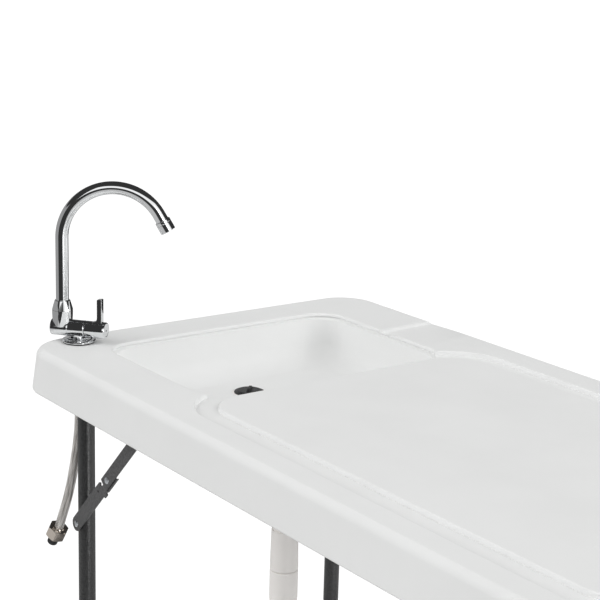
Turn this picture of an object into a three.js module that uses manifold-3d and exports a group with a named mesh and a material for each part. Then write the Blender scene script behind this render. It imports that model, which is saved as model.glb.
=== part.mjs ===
// Folding fish cleaning table: a moulded top with a sink and a cutting board, a gooseneck tap
// with its supply hose, a drain with its hose, and two folding leg frames with locking stays.
// Millimetres, +Z up. The origin is on the floor under the middle of the top, +X runs along the
// table away from the tap, and +Y runs away from the near long side, where the tap stands.

import * as THREE from 'three';
import { mergeVertices } from 'three/addons/utils/BufferGeometryUtils.js';
import Module from 'manifold-3d';

const wasm = await Module();
wasm.setup();

// Overall size of the table
const tableLength = 1143;
const tableWidth = 597;
const tableHeight = 940;

// Moulded top
const apronDepth = 61.5;
const apronFlare = 6.2;
const apronWall = 11;
const apronFootRound = 3;
const cornerRadius = 62;
const edgeRadius = 12;
const deckThickness = 13;
const cavityRound = 5;

// Sink bowl
const sinkFromLeft = 75;
const sinkFromNear = 86;
const sinkLength = 293;
const sinkFromFar = 103;
const sinkWidth = tableWidth - sinkFromNear - sinkFromFar;
const sinkDepth = 75;
const sinkWall = 4;
const sinkCornerRadius = 43;
const sinkFloorRound = 38;
const sinkDraft = THREE.MathUtils.degToRad(9);
const lipRound = 3.2;
const lipLedge = 1.8;

// Cutting board and the channel round it
const boardFromNear = 74;
const boardFromFar = 85;
const boardFromRight = 84;
const boardCornerRadius = 55;
const boardEdgeRound = 2.4;
const channelWidth = 30;
const channelDepth = 6;
const channelDraft = 0.8;
const channelMouth = 22;

// Ramped step in the far rim
const stepFromLeft = 213;
const stepDrop = 4.5;
const stepFace = 9;
const stepRun = 92;
const stepSkew = THREE.MathUtils.degToRad(5);

// Tack-off dimples in the underside of the board
const dimpleRadius = 9;
const dimpleDepth = 5;
const dimplePitch = 125;
const dimpleTipShare = 0.35;
const dimpleSides = 8;

// Clearances between pieces
const gap = 0.3;
const overrun = 5;
const weldDistance = 0.0001;

// Leg frames
const legDiameter = 25;
const tubeWall = 1.5;
const legFromEnd = 63.4;
const legFromSide = 70;
const pivotDiameter = 20;
const crossbarDiameter = 20;
const crossbarHeight = 201;
const leftPivotDrop = 30;
const rightPivotDrop = 59;
const pivotOverhang = 27;

// Foot caps
const capWall = 2;
const capHeight = 36;
const capBase = 5;
const capRound = 2;

// Pivot brackets, pressed from sheet
const bracketSheet = 2.5;
const bracketWidth = 34;
const stayBracketWidth = 25.5;
const bracketFlange = 24;
const bracketInset = 12.5;
const screwHole = 5;

// Locking stays, each of two pressed links
const stayLower = 137.2;
const stayUpper = 165;
const leftStayDrop = 52.2;
const leftStayReach = 238.3;
const rightStayDrop = 36.8;
const rightStayReach = 214.7;
const linkSheet = 2;
const lowerLinkWidth = 22;
const upperLinkWidth = 19.5;
const linkEnd = 14;
const linkTail = 22;
const rivetHead = 5;
const rivetHeadHeight = 1.6;
const rivetShank = 3;
const washerRadius = 7;
const legStandOff = 3.3;
const catchWidth = 6;
const catchReach = 23;
const tabReach = 3.6;
const tabLength = 10;
const linkHole = 2.2;
const lipDepth = 3;
const lipSheet = 1.5;

// Tap
const tapFromLeft = 39;
const tapFromNear = 72;
const tapTurn = THREE.MathUtils.degToRad(40);
const tapAxisHeight = 20;
const tapFlangeRadius = 24.5;
const tapFlangeThickness = 2.6;
const tapHubRadius = 14;
const tapHubHeight = 7.4;
const tapStemRadius = 8.6;
const tapBodyRadius = 12.2;
const tapBodyLeft = 40.4;
const tapBodyJoint = 8.8;
const tapGrooveFrom = 16;
const tapGrooveWidth = 1.2;
const tapGrooveDepth = 0.8;
const tapEndRound = 2;
const gasketRadius = 23;
const gasketThickness = 1.6;
const shankRadius = 7.5;
const shankBore = 4.5;
const shankReach = 58;
const shankSeat = 5;
const riserOffset = 24.6;
const neckRadius = 11;
const neckHeight = 45.7;
const spigotRadius = 6.5;
const spigotHeight = 51;
const lockNutFlats = 24.2;
const lockNutHeight = 7;
const lockWasherRadius = 15;
const lockWasherThickness = 1.5;

// Lever handle
const leverCapLength = 33.5;
const leverCapRound = 4;
const leverThickness = 9;
const leverWidth = 13;
const leverHeight = 46.3;
const leverTopSlope = 1;
const leverInset = 6;
const leverFillet = 7;
const setScrewRadius = 1.5;

// Collar nut, spout and aerator
const collarHeight = 14.6;
const collarWaist = 10.5;
const collarBelly = 16.4;
const collarFlats = 28;
const collarTurn = THREE.MathUtils.degToRad(19);
const spoutRadius = 9.3;
const spoutBore = 7.8;
const spoutStraightTop = 151.7;
const spoutBend = 74.3;
const spoutSweep = THREE.MathUtils.degToRad(150);
const spoutTurn = THREE.MathUtils.degToRad(12.8);
const spoutTipLength = 8.6;
const aeratorRadius = 11.2;
const aeratorLength = 17.9;
const aeratorCover = 9;
const aeratorWall = 1.2;

// Supply hose and its fittings
const hoseRadius = 6.75;
const hoseNutFlats = 22;
const hoseNutHeight = 18;
const hoseNutCover = 8;
const hoseFerrule = 7.5;
const hoseFerruleHeight = 8;
const endNutFlats = 27;
const endNutHeight = 18;
const endNutBore = 10.4;
const endNutLid = 2;
const stopperRadius = 7.8;
const stopperLength = 25.5;
const stopperHead = 9.9;
const stopperHeadHeight = 3;

// Points that the supply hose runs through, from its swivel nut down
const supplyRoute = [
  [-532.5, -226.5, 850.7],
  [-532.5, -226.5, 838],
  [-532.6, -226.6, 824],
  [-533.0, -227.5, 806],
  [-533.6, -229.2, 788],
  [-534.4, -231.4, 771],
  [-535.3, -233.9, 753],
  [-536.4, -236.7, 736],
  [-537.6, -239.8, 719],
  [-539.1, -243.4, 702],
  [-541.4, -247.1, 685.8],
  [-545.7, -249.8, 670.1],
  [-552.2, -251.2, 652.6],
];

// Sink drain
const drainFromLeft = 170;
const drainFromNear = 282;
const drainFlangeRadius = 25;
const drainFlangeThickness = 2;
const drainTailRadius = 19;
const drainBoreRadius = 16;
const drainTailLength = 38;
const drainGasketRadius = 27;
const drainGasketThickness = 3;
const drainNutFlats = 54;
const drainNutHeight = 9;
const slipNutFlats = 48;
const slipNutHeight = 16;
const pipeRadius = 17.5;
const pipeBore = 15.5;
const pipeBend = 42;
const pipeTurn = THREE.MathUtils.degToRad(60);
const hoseFromLeft = 268;
const cuffTopRadius = 20;
const cuffFootRadius = 20.9;
const cuffLength = 62;
const cuffFootDrop = 317;
const cuffWall = 1.8;
const plugRadius = 22.5;
const plugThickness = 3.5;
const plugSkirtRadius = 15.2;
const plugSkirtDepth = 7;
const plugGripHeight = 6;
const plugGripLength = 30;
const plugGripThickness = 4.5;

// Ribbed drain hose
const ribCount = 55;
const ribPitch = 4;
const ribCrest = 20.7;
const ribRoot = 19.2;
const ribBore = 17.4;
const hoseCuffRadius = 20.7;
const hoseEndCuffLength = 34;
const ribPoints = 8;
const ringsPerBore = 5;

// Facet counts
const cornerSteps = 6;
const filletSteps = 5;
const tubeSides = 16;
const fineSides = 24;
const smallSides = 8;
const cornerFacets = 2;
const spoutSides = 12;
const hoseSides = 10;
const spoutSteps = 24;
const pipeSteps = 16;
const hoseSteps = 14;

// Shared places worked out from the sizes above
const leftEdge = -tableLength / 2;
const nearEdge = -tableWidth / 2;
const deckUnder = tableHeight - deckThickness;
const sinkRight = leftEdge + sinkFromLeft + sinkLength;
const sinkFar = nearEdge + sinkFromNear + sinkWidth;
const collarMiddle = (collarWaist + collarBelly) / 2 + tapGrooveDepth;
const plumb = new THREE.Vector3(0, 0, 1);

// Places in the stay's thickness, counted outwards from the leg's surface
const lowerPlane = legStandOff;
const upperPlane = lowerPlane + linkSheet + gap;
const bracketPlane = upperPlane + linkSheet + gap;

// Finishes
const finish = (color, roughness, metalness) => (
  () => new THREE.MeshStandardMaterial({ color, roughness, metalness })
);
const whitePlastic = finish(0xe4e6e6, 0.5, 0);
const pipePlastic = finish(0xdadada, 0.45, 0);
const hammeredSteel = finish(0x3f4142, 0.45, 0.4);
const chrome = finish(0xd5d8da, 0.08, 1);
const nickel = finish(0xb9aa98, 0.25, 1);
const zinc = finish(0xb4b9bd, 0.35, 1);
const blackRubber = finish(0x242424, 0.6, 0);
const braid = finish(0xb8b4ae, 0.4, 0.6);

// Turns any geometry into welded, indexed triangles that face outwards
function welded(geometry) {
  const loose = geometry.clone();
  for (const name of Object.keys(loose.attributes)) {
    if (name !== 'position') loose.deleteAttribute(name);
  }
  const merged = mergeVertices(loose, weldDistance);
  const corners = merged.index.array;
  const kept = [];
  for (let at = 0; at < corners.length; at += 3) {
    const [a, b, c] = [corners[at], corners[at + 1], corners[at + 2]];
    if (a !== b && b !== c && c !== a) kept.push(a, b, c);
  }
  if (volumeOf(merged.attributes.position, kept) < 0) kept.reverse();
  merged.setIndex(kept);
  return merged;
}

// The signed volume inside a closed set of triangles
function volumeOf(position, corners) {
  const [p, q, r] = [new THREE.Vector3(), new THREE.Vector3(), new THREE.Vector3()];
  let total = 0;
  for (let at = 0; at < corners.length; at += 3) {
    p.fromBufferAttribute(position, corners[at]);
    q.fromBufferAttribute(position, corners[at + 1]);
    r.fromBufferAttribute(position, corners[at + 2]);
    total += p.dot(q.cross(r)) / 6;
  }
  return total;
}

// A geometry as a solid that can be joined and cut
function solid(geometry) {
  const mesh = welded(geometry);
  return new wasm.Manifold(new wasm.Mesh({
    numProp: 3,
    vertProperties: new Float32Array(mesh.attributes.position.array),
    triVerts: new Uint32Array(mesh.index.array),
  }));
}

// A solid back as a geometry
function geometryOf(made) {
  const mesh = made.getMesh();
  const geometry = new THREE.BufferGeometry();
  geometry.setAttribute('position', new THREE.BufferAttribute(mesh.vertProperties, 3));
  geometry.setIndex(new THREE.BufferAttribute(mesh.triVerts, 1));
  return geometry;
}

function joined(...geometries) {
  return geometries.map(solid).reduce((sum, next) => sum.add(next));
}

// Points of a regular polygon or a faceted circle
function ringPoints(radius, sides, turn = 0) {
  const points = [];
  for (let side = 0; side < sides; side += 1) {
    const angle = turn + (side / sides) * Math.PI * 2;
    points.push(new THREE.Vector2(radius * Math.cos(angle), radius * Math.sin(angle)));
  }
  return points;
}

// A rectangle outline with one radius per corner: near left, near right, far right, far left
function roundedOutline(left, near, right, far, radii, steps = cornerSteps) {
  const centres = [
    [left + radii[0], near + radii[0]],
    [right - radii[1], near + radii[1]],
    [right - radii[2], far - radii[2]],
    [left + radii[3], far - radii[3]],
  ];
  const points = [];
  centres.forEach(([x, y], corner) => {
    for (let step = 0; step <= steps; step += 1) {
      const angle = Math.PI * (1 + corner / 2) + (step / steps) * (Math.PI / 2);
      const radius = radii[corner];
      points.push(new THREE.Vector2(x + radius * Math.cos(angle), y + radius * Math.sin(angle)));
    }
  });
  return points;
}

// A closed body through outlines of equal count, each at its own height
function loft(levels) {
  const count = levels[0].outline.length;
  const position = [];
  for (const level of levels) {
    for (const point of level.outline) position.push(point.x, point.y, level.z);
  }
  const index = [];
  for (let level = 0; level < levels.length - 1; level += 1) {
    for (let step = 0; step < count; step += 1) {
      const a = level * count + step;
      const b = level * count + ((step + 1) % count);
      index.push(a, b, b + count, a, b + count, a + count);
    }
  }
  const last = (levels.length - 1) * count;
  for (const [a, b, c] of THREE.ShapeUtils.triangulateShape(levels[0].outline, [])) {
    index.push(c, b, a);
    index.push(last + a, last + b, last + c);
  }
  const geometry = new THREE.BufferGeometry();
  geometry.setAttribute('position', new THREE.Float32BufferAttribute(position, 3));
  geometry.setIndex(index);
  return geometry;
}

// A body of revolution about Z from [radius, height] pairs that close on the axis or themselves
function revolve(profile, sides = tubeSides) {
  const points = profile.map(([radius, height]) => new THREE.Vector2(radius, height));
  return new THREE.LatheGeometry(points, sides).rotateX(Math.PI / 2);
}

// A revolved ring or sleeve with a square section
function sleeve(outer, inner, low, high, sides = tubeSides) {
  return revolve([[inner, low], [outer, low], [outer, high], [inner, high], [inner, low]], sides);
}

// A flat outline pushed up from height low by thickness
function plate(shape, low, thickness) {
  const geometry = new THREE.ExtrudeGeometry(shape, {
    depth: thickness,
    bevelEnabled: false,
    curveSegments: cornerSteps,
  });
  return geometry.translate(0, 0, low);
}

// A round bar between two points
function bar(from, to, radius, sides = tubeSides) {
  const along = to.clone().sub(from);
  const geometry = new THREE.CylinderGeometry(radius, radius, along.length(), sides);
  geometry.applyQuaternion(
    new THREE.Quaternion().setFromUnitVectors(new THREE.Vector3(0, 1, 0), along.clone().normalize()),
  );
  const middle = from.clone().add(to).multiplyScalar(1 / 2);
  return geometry.translate(middle.x, middle.y, middle.z);
}

// A round bar standing on the Z axis from low to high
function post(low, high, radius, sides = tubeSides) {
  return bar(new THREE.Vector3(0, 0, low), new THREE.Vector3(0, 0, high), radius, sides);
}

// A round section, hollow where a bore is given, carried along a curve
function tube(curve, radius, steps, sides, bore = 0) {
  const section = new THREE.Shape(ringPoints(radius, sides));
  if (bore > 0) section.holes.push(new THREE.Path(ringPoints(bore, sides)));
  return new THREE.ExtrudeGeometry(section, { steps, extrudePath: curve, bevelEnabled: false });
}

// A hexagon nut with turned-off corners and a round bore, standing from low to high
function hexNut(flats, bore, low, high, sides = tubeSides) {
  const corner = flats / Math.sqrt(3);
  const chamfer = corner - flats / 2;
  const prism = plate(new THREE.Shape(ringPoints(corner, 6, Math.PI / 6)), low, high - low);
  const turned = revolve([
    [0, low],
    [flats / 2, low],
    [corner, low + chamfer],
    [corner, high - chamfer],
    [flats / 2, high],
    [0, high],
  ], fineSides);
  const hole = post(low - overrun, high + overrun, bore, sides);
  return solid(prism).intersect(solid(turned)).subtract(solid(hole));
}

// A circular bend that leaves a point along heading and turns towards another direction
class Bend extends THREE.Curve {
  constructor(start, heading, towards, radius, sweep) {
    super();
    Object.assign(this, { start, heading, towards, radius, sweep });
  }

  getPoint(share) {
    const angle = share * this.sweep;
    return this.start.clone()
      .addScaledVector(this.heading, this.radius * Math.sin(angle))
      .addScaledVector(this.towards, this.radius * (1 - Math.cos(angle)));
  }

  endHeading() {
    return this.heading.clone().multiplyScalar(Math.cos(this.sweep))
      .addScaledVector(this.towards, Math.sin(this.sweep));
  }

  endTowards() {
    return this.towards.clone().multiplyScalar(Math.cos(this.sweep))
      .addScaledVector(this.heading, -Math.sin(this.sweep));
  }
}

const parts = new THREE.Group();

function add(name, geometry, material, parent = parts) {
  const mesh = new THREE.Mesh(welded(geometry), material());
  mesh.name = name;
  parent.add(mesh);
  return mesh;
}

// Outline of the whole top, drawn in by inset
function topOutline(inset) {
  const radius = cornerRadius - inset;
  return roundedOutline(
    leftEdge + inset,
    nearEdge + inset,
    -leftEdge - inset,
    -nearEdge - inset,
    [radius, radius, radius, radius],
  );
}

// Outer skin: the apron flares downwards, and a round edge runs into the flat rim
function topSkin() {
  const foot = tableHeight - apronDepth;
  const levels = [
    { outline: topOutline(apronFootRound - apronFlare), z: foot },
    { outline: topOutline(-apronFlare), z: foot + apronFootRound },
  ];
  for (let step = 0; step <= filletSteps; step += 1) {
    const angle = (step / filletSteps) * (Math.PI / 2);
    levels.push({
      outline: topOutline(edgeRadius * (1 - Math.cos(angle))),
      z: tableHeight - edgeRadius * (1 - Math.sin(angle)),
    });
  }
  return loft(levels);
}

// The open space under the deck, inside the apron
function topCavity() {
  const foot = tableHeight - apronDepth;
  const wall = apronWall - apronFlare;
  return loft([
    { outline: topOutline(wall - overrun * (apronFlare / apronDepth)), z: foot - overrun },
    { outline: topOutline(apronWall), z: deckUnder - cavityRound },
    { outline: topOutline(apronWall + cavityRound), z: deckUnder },
  ]);
}

// Outline of the sink at one level, drawn in by inset
function sinkOutline(inset, offset = 0) {
  const radius = sinkCornerRadius + offset;
  const left = leftEdge + sinkFromLeft;
  const near = nearEdge + sinkFromNear;
  return roundedOutline(
    left + inset,
    near + inset,
    left + sinkLength - inset,
    near + sinkWidth - inset,
    [radius, radius, radius, radius],
  );
}

// Levels of the bowl's wall and floor round, standing off the inner face by offset
function bowlLevels(offset) {
  const wallTop = lipRound + lipLedge;
  const roundStart = sinkDepth - sinkFloorRound * (1 - Math.sin(sinkDraft));
  const roundInset = wallTop + (roundStart - lipRound) * Math.tan(sinkDraft);
  const levels = [];
  for (let step = 0; step <= filletSteps; step += 1) {
    const angle = sinkDraft + (step / filletSteps) * (Math.PI / 2 - sinkDraft);
    const inset = roundInset + sinkFloorRound * (Math.cos(sinkDraft) - Math.cos(angle));
    const depth = roundStart + sinkFloorRound * (Math.sin(angle) - Math.sin(sinkDraft));
    levels.push({
      outline: sinkOutline(inset - offset * Math.cos(angle), offset),
      z: tableHeight - depth - offset * Math.sin(angle),
    });
  }
  return levels;
}

// The bowl's inside, with the rounded step and the narrow ledge round its rim
function sinkHollow() {
  const levels = [{ outline: sinkOutline(0), z: tableHeight + overrun }];
  for (let step = 0; step <= filletSteps; step += 1) {
    const angle = (step / filletSteps) * (Math.PI / 2);
    levels.push({
      outline: sinkOutline(lipRound * Math.sin(angle)),
      z: tableHeight - lipRound * (1 - Math.cos(angle)),
    });
  }
  levels.push({ outline: sinkOutline(lipRound + lipLedge), z: tableHeight - lipRound - gap });
  return loft([...levels, ...bowlLevels(0)]);
}

// The bowl's outside, from within the deck down
function sinkShell() {
  const start = deckThickness / 2;
  const inset = lipRound + lipLedge + (start - lipRound) * Math.tan(sinkDraft) - sinkWall;
  return loft([
    { outline: sinkOutline(inset, sinkWall), z: tableHeight - start },
    ...bowlLevels(sinkWall),
  ]);
}

// Outline of the cutting board, spread outwards by spread
function boardOutline(spread, radius) {
  return roundedOutline(
    sinkRight - spread,
    nearEdge + boardFromNear - spread,
    -leftEdge - boardFromRight + spread,
    -nearEdge - boardFromFar + spread,
    [radius, radius, radius, radius],
  );
}

// The juice channel: a sunk band round the board that opens into the sink at both ends
function channelHollow() {
  const floor = tableHeight - channelDepth;
  const wide = boardCornerRadius + channelWidth;
  const outer = (spread) => {
    const outline = boardOutline(channelWidth + spread, wide + spread);
    const reach = sinkRight - channelMouth - spread;
    return outline.map((point) => new THREE.Vector2(Math.max(point.x, reach), point.y));
  };
  const sunk = loft([
    { outline: outer(-channelDraft), z: floor },
    { outline: outer(0), z: tableHeight - boardEdgeRound },
    { outline: outer(boardEdgeRound / 3), z: tableHeight - boardEdgeRound / 3 },
    { outline: outer(boardEdgeRound), z: tableHeight },
    { outline: outer(boardEdgeRound), z: tableHeight + overrun },
  ]);
  const island = loft([
    { outline: boardOutline(channelDraft, boardCornerRadius), z: floor - overrun },
    { outline: boardOutline(0, boardCornerRadius), z: tableHeight - boardEdgeRound },
    { outline: boardOutline(-boardEdgeRound / 3, boardCornerRadius), z: tableHeight - boardEdgeRound / 3 },
    { outline: boardOutline(-boardEdgeRound, boardCornerRadius), z: tableHeight },
    { outline: boardOutline(-boardEdgeRound, boardCornerRadius), z: tableHeight + 2 * overrun },
  ]);
  return solid(sunk).subtract(solid(island));
}

// The ramped step across the far rim, from the sink out over the edge
function rimStep() {
  const section = new THREE.Shape([
    new THREE.Vector2(-stepFace * (overrun / stepDrop), overrun),
    new THREE.Vector2(stepFace, -stepDrop),
    new THREE.Vector2(stepFace + stepRun, 0),
    new THREE.Vector2(stepFace + stepRun, overrun),
  ]);
  const from = -overrun;
  const to = sinkFromFar + 2 * overrun;
  const wedge = plate(section, from, to).rotateX(Math.PI / 2).rotateZ(Math.PI);
  wedge.scale(-1, 1, 1).rotateZ(stepSkew);
  return wedge.translate(leftEdge + stepFromLeft, sinkFar, tableHeight);
}

// Cone-shaped tack-offs, in rows under the board
function dimples() {
  const length = tableLength - boardFromRight - sinkFromLeft - sinkLength;
  const width = tableWidth - boardFromNear - boardFromFar;
  const columns = Math.floor((length - dimplePitch) / dimplePitch);
  const rows = Math.floor((width - dimplePitch) / dimplePitch);
  const cones = [];
  for (let column = 0; column <= columns; column += 1) {
    for (let row = 0; row <= rows; row += 1) {
      const cone = revolve([
        [0, -overrun],
        [dimpleRadius, -overrun],
        [dimpleRadius, 0],
        [dimpleRadius * dimpleTipShare, dimpleDepth],
        [0, dimpleDepth],
      ], dimpleSides);
      const x = sinkRight + (length - columns * dimplePitch) / 2 + column * dimplePitch;
      const y = nearEdge + boardFromNear + (width - rows * dimplePitch) / 2 + row * dimplePitch;
      cones.push(solid(cone.translate(x, y, deckUnder)));
    }
  }
  return wasm.Manifold.union(cones);
}

// The moulding, with the bored hole for the tap and the stepped one for the drain
function tableTop() {
  const floor = tableHeight - sinkDepth;
  const tapHole = post(deckUnder - overrun, tableHeight + overrun, shankRadius + gap, fineSides);
  tapHole.translate(leftEdge + tapFromLeft, nearEdge + tapFromNear, 0);
  const drainHole = revolve([
    [0, floor - sinkWall - overrun],
    [drainTailRadius + gap, floor - sinkWall - overrun],
    [drainTailRadius + gap, floor - drainFlangeThickness],
    [drainFlangeRadius + gap, floor - drainFlangeThickness],
    [drainFlangeRadius + gap, floor + overrun],
    [0, floor + overrun],
  ], fineSides);
  drainHole.translate(leftEdge + drainFromLeft, nearEdge + drainFromNear, 0);
  const shell = solid(topSkin()).subtract(solid(topCavity())).add(solid(sinkShell()));
  return shell
    .subtract(channelHollow())
    .subtract(solid(rimStep()))
    .subtract(solid(sinkHollow()))
    .subtract(dimples())
    .subtract(solid(tapHole))
    .subtract(solid(drainHole));
}

// The bars of a leg frame, thinner by wall, with its open ends lengthened by extra
function frameBars(pivot, wall, extra, sides) {
  const legY = tableWidth / 2 - legFromSide;
  const foot = capBase + gap - extra;
  const end = legY + pivotOverhang + extra;
  const level = (y, z) => new THREE.Vector3(pivot.x, y, z);
  return joined(
    bar(level(-legY, foot), level(-legY, pivot.z), legDiameter / 2 - wall, sides),
    bar(level(legY, foot), level(legY, pivot.z), legDiameter / 2 - wall, sides),
    bar(level(-end, pivot.z), level(end, pivot.z), pivotDiameter / 2 - wall, sides),
    bar(level(-legY, crossbarHeight), level(legY, crossbarHeight), crossbarDiameter / 2 - wall, sides),
  );
}

// One welded frame of steel tube: two legs, the pivot tube above and a crossbar below.
// The pivot tube is open at its ends and the legs at their feet.
function legFrame(pivot, stayReach) {
  const legY = tableWidth / 2 - legFromSide;
  const level = (y, z) => new THREE.Vector3(pivot.x, y, z);
  const holeHeight = pivot.z - stayReach;
  const hollow = frameBars(pivot, tubeWall, overrun, smallSides);
  const frame = frameBars(pivot, 0, 0, tubeSides).subtract(hollow);
  const outer = legY + legDiameter / 2 + overrun;
  const near = bar(level(-outer, holeHeight), level(-legY, holeHeight), rivetShank + gap, smallSides);
  const far = bar(level(outer, holeHeight), level(legY, holeHeight), rivetShank + gap, smallSides);
  return frame.subtract(solid(near)).subtract(solid(far));
}

// A slip-on foot cap with a thick rounded base
function footCap() {
  const inner = legDiameter / 2 + gap;
  const outer = inner + capWall;
  return revolve([
    [0, 0],
    [outer - capRound, 0],
    [outer, capRound],
    [outer, capHeight],
    [inner, capHeight],
    [inner, capBase],
    [0, capBase],
  ], tubeSides);
}

// A sheet steel bracket: a flange under the deck and a round-nosed ear with a hole.
// Its ear stands in the XZ plane through the origin, and the flange runs out towards -Y.
function earBracket(drop, width, holeRadius, noseRadius) {
  const top = drop - gap;
  const ear = new THREE.Shape();
  ear.moveTo(-width / 2, top);
  ear.lineTo(-noseRadius, 0);
  ear.absarc(0, 0, noseRadius, Math.PI, 0, false);
  ear.lineTo(width / 2, top);
  ear.closePath();
  const upright = plate(ear, 0, bracketSheet).rotateX(Math.PI / 2);
  const flange = new THREE.Shape(roundedOutline(
    -width / 2,
    -bracketFlange,
    width / 2,
    0,
    [bracketSheet, bracketSheet, gap, gap],
    cornerFacets,
  ));
  const base = plate(flange, top - bracketSheet, bracketSheet);
  const middle = -(bracketFlange + bracketSheet) / 2;
  const screws = [-1, 1].map((side) => {
    const x = side * width / 4;
    return bar(
      new THREE.Vector3(x, middle, top - bracketSheet - overrun),
      new THREE.Vector3(x, middle, top + overrun),
      screwHole / 2,
      smallSides,
    );
  });
  let made = joined(upright, base);
  for (const screw of screws) made = made.subtract(solid(screw));
  if (holeRadius > 0) {
    made = made.subtract(solid(bar(
      new THREE.Vector3(0, -overrun, 0),
      new THREE.Vector3(0, overrun, 0),
      holeRadius,
      tubeSides,
    )));
  }
  return made;
}

// Lower link, drawn along +X from the leg rivet, with its hook notch, hole and side tab
function lowerLinkPlate() {
  const half = lowerLinkWidth / 2;
  const end = stayLower + linkTail;
  const shape = new THREE.Shape();
  shape.moveTo(0, -half);
  shape.lineTo(stayLower - catchReach - tabLength / 2, -half);
  shape.lineTo(stayLower - catchReach - tabLength / 2, -half - tabReach);
  shape.lineTo(stayLower - catchReach + tabLength / 2, -half - tabReach);
  shape.lineTo(stayLower - catchReach + tabLength / 2, -half);
  shape.lineTo(end, -half);
  shape.lineTo(end, half / 2);
  shape.lineTo(end - half / 2, half);
  shape.lineTo(stayLower - catchReach + catchWidth, half);
  shape.lineTo(stayLower - catchReach + catchWidth, half / 4);
  shape.lineTo(stayLower - catchReach, half / 4);
  shape.lineTo(stayLower - catchReach - catchWidth / 2, half / 2);
  shape.lineTo(stayLower - catchReach, half * 3 / 4);
  shape.lineTo(stayLower - catchReach - catchWidth / 2, half);
  shape.lineTo(0, half);
  shape.absarc(0, 0, half, Math.PI / 2, Math.PI * 3 / 2, false);
  const hole = new THREE.Path();
  hole.absarc(stayLower - catchReach * 5 / 3, half / 4, linkHole, 0, Math.PI * 2, false);
  const pivotHole = new THREE.Path();
  pivotHole.absarc(0, 0, rivetShank + gap, 0, Math.PI * 2, false);
  shape.holes.push(hole, pivotHole);
  return shape;
}

// Upper link, drawn along -X from the bracket stud, square at its lower end
function upperLinkPlate() {
  const half = upperLinkWidth / 2;
  const shape = new THREE.Shape();
  shape.moveTo(0, half);
  shape.lineTo(-stayUpper - linkEnd, half);
  shape.lineTo(-stayUpper - linkEnd, -half);
  shape.lineTo(0, -half);
  shape.absarc(0, 0, half, -Math.PI / 2, Math.PI / 2, false);
  const hole = new THREE.Path();
  hole.absarc(0, 0, rivetShank + gap, 0, Math.PI * 2, false);
  shape.holes.push(hole);
  return shape;
}

// A domed rivet head on the XY plane, growing upwards
function rivetDome() {
  return revolve([
    [0, 0],
    [rivetHead, 0],
    [rivetHead * Math.cos(Math.PI / 6), rivetHeadHeight / 2],
    [rivetHead / 2, rivetHeadHeight],
    [0, rivetHeadHeight],
  ], smallSides);
}

// Lower link with the inner half of the middle rivet, and a lip turned in along its lower edge
function lowerLink() {
  const tail = rivetDome().rotateX(Math.PI).translate(stayLower, 0, lowerPlane);
  const from = stayLower - catchReach + tabLength / 2;
  const length = stayLower + linkTail - from;
  const lip = new THREE.BoxGeometry(length, lipSheet, lipDepth + linkSheet);
  lip.translate(
    from + length / 2,
    (lipSheet - lowerLinkWidth) / 2,
    lowerPlane + (linkSheet - lipDepth) / 2,
  );
  return joined(plate(lowerLinkPlate(), lowerPlane, linkSheet), tail, lip);
}

// Upper link with the outer half of the middle rivet
function upperLink() {
  const head = rivetDome().translate(-stayUpper, 0, upperPlane + linkSheet);
  return joined(plate(upperLinkPlate(), upperPlane, linkSheet), head);
}

// The rivet through the leg, with the washer that stands the lower link off
function legRivet() {
  const washer = lowerPlane - gap;
  const headFrom = lowerPlane + linkSheet + gap / 3;
  return revolve([
    [0, gap - legDiameter / 2],
    [rivetShank, gap - legDiameter / 2],
    [rivetShank, gap],
    [washerRadius, gap],
    [washerRadius, washer],
    [rivetShank, washer],
    [rivetShank, headFrom],
    [rivetHead, headFrom],
    [rivetHead * Math.cos(Math.PI / 6), headFrom + rivetHeadHeight / 2],
    [rivetHead / 2, headFrom + rivetHeadHeight],
    [0, headFrom + rivetHeadHeight],
  ], smallSides);
}

// Stay bracket with the stud that carries the upper link
function stayBracket(stayDrop) {
  const stem = revolve([
    [0, linkSheet + 2 * gap + rivetHeadHeight],
    [rivetHead / 2, linkSheet + 2 * gap + rivetHeadHeight],
    [rivetHead, linkSheet + 2 * gap],
    [rivetShank, linkSheet + 2 * gap],
    [rivetShank, -bracketSheet / 2],
    [0, -bracketSheet / 2],
  ], smallSides);
  const drop = stayDrop - deckThickness;
  const ear = earBracket(drop, stayBracketWidth, 0, upperLinkWidth / 2);
  const outside = rivetDome().rotateX(Math.PI / 2).translate(0, -bracketSheet, 0);
  return ear.add(solid(stem.rotateX(-Math.PI / 2))).add(solid(outside));
}

// A piece drawn flat, with +Z outwards from the leg, stood up on the near or the far face
function standUp(geometry, anchor, angle, inward, side) {
  const piece = geometry.rotateZ(angle).rotateX(Math.PI / 2);
  return piece.scale(inward, side, 1).translate(anchor.x, anchor.y, anchor.z);
}

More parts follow.
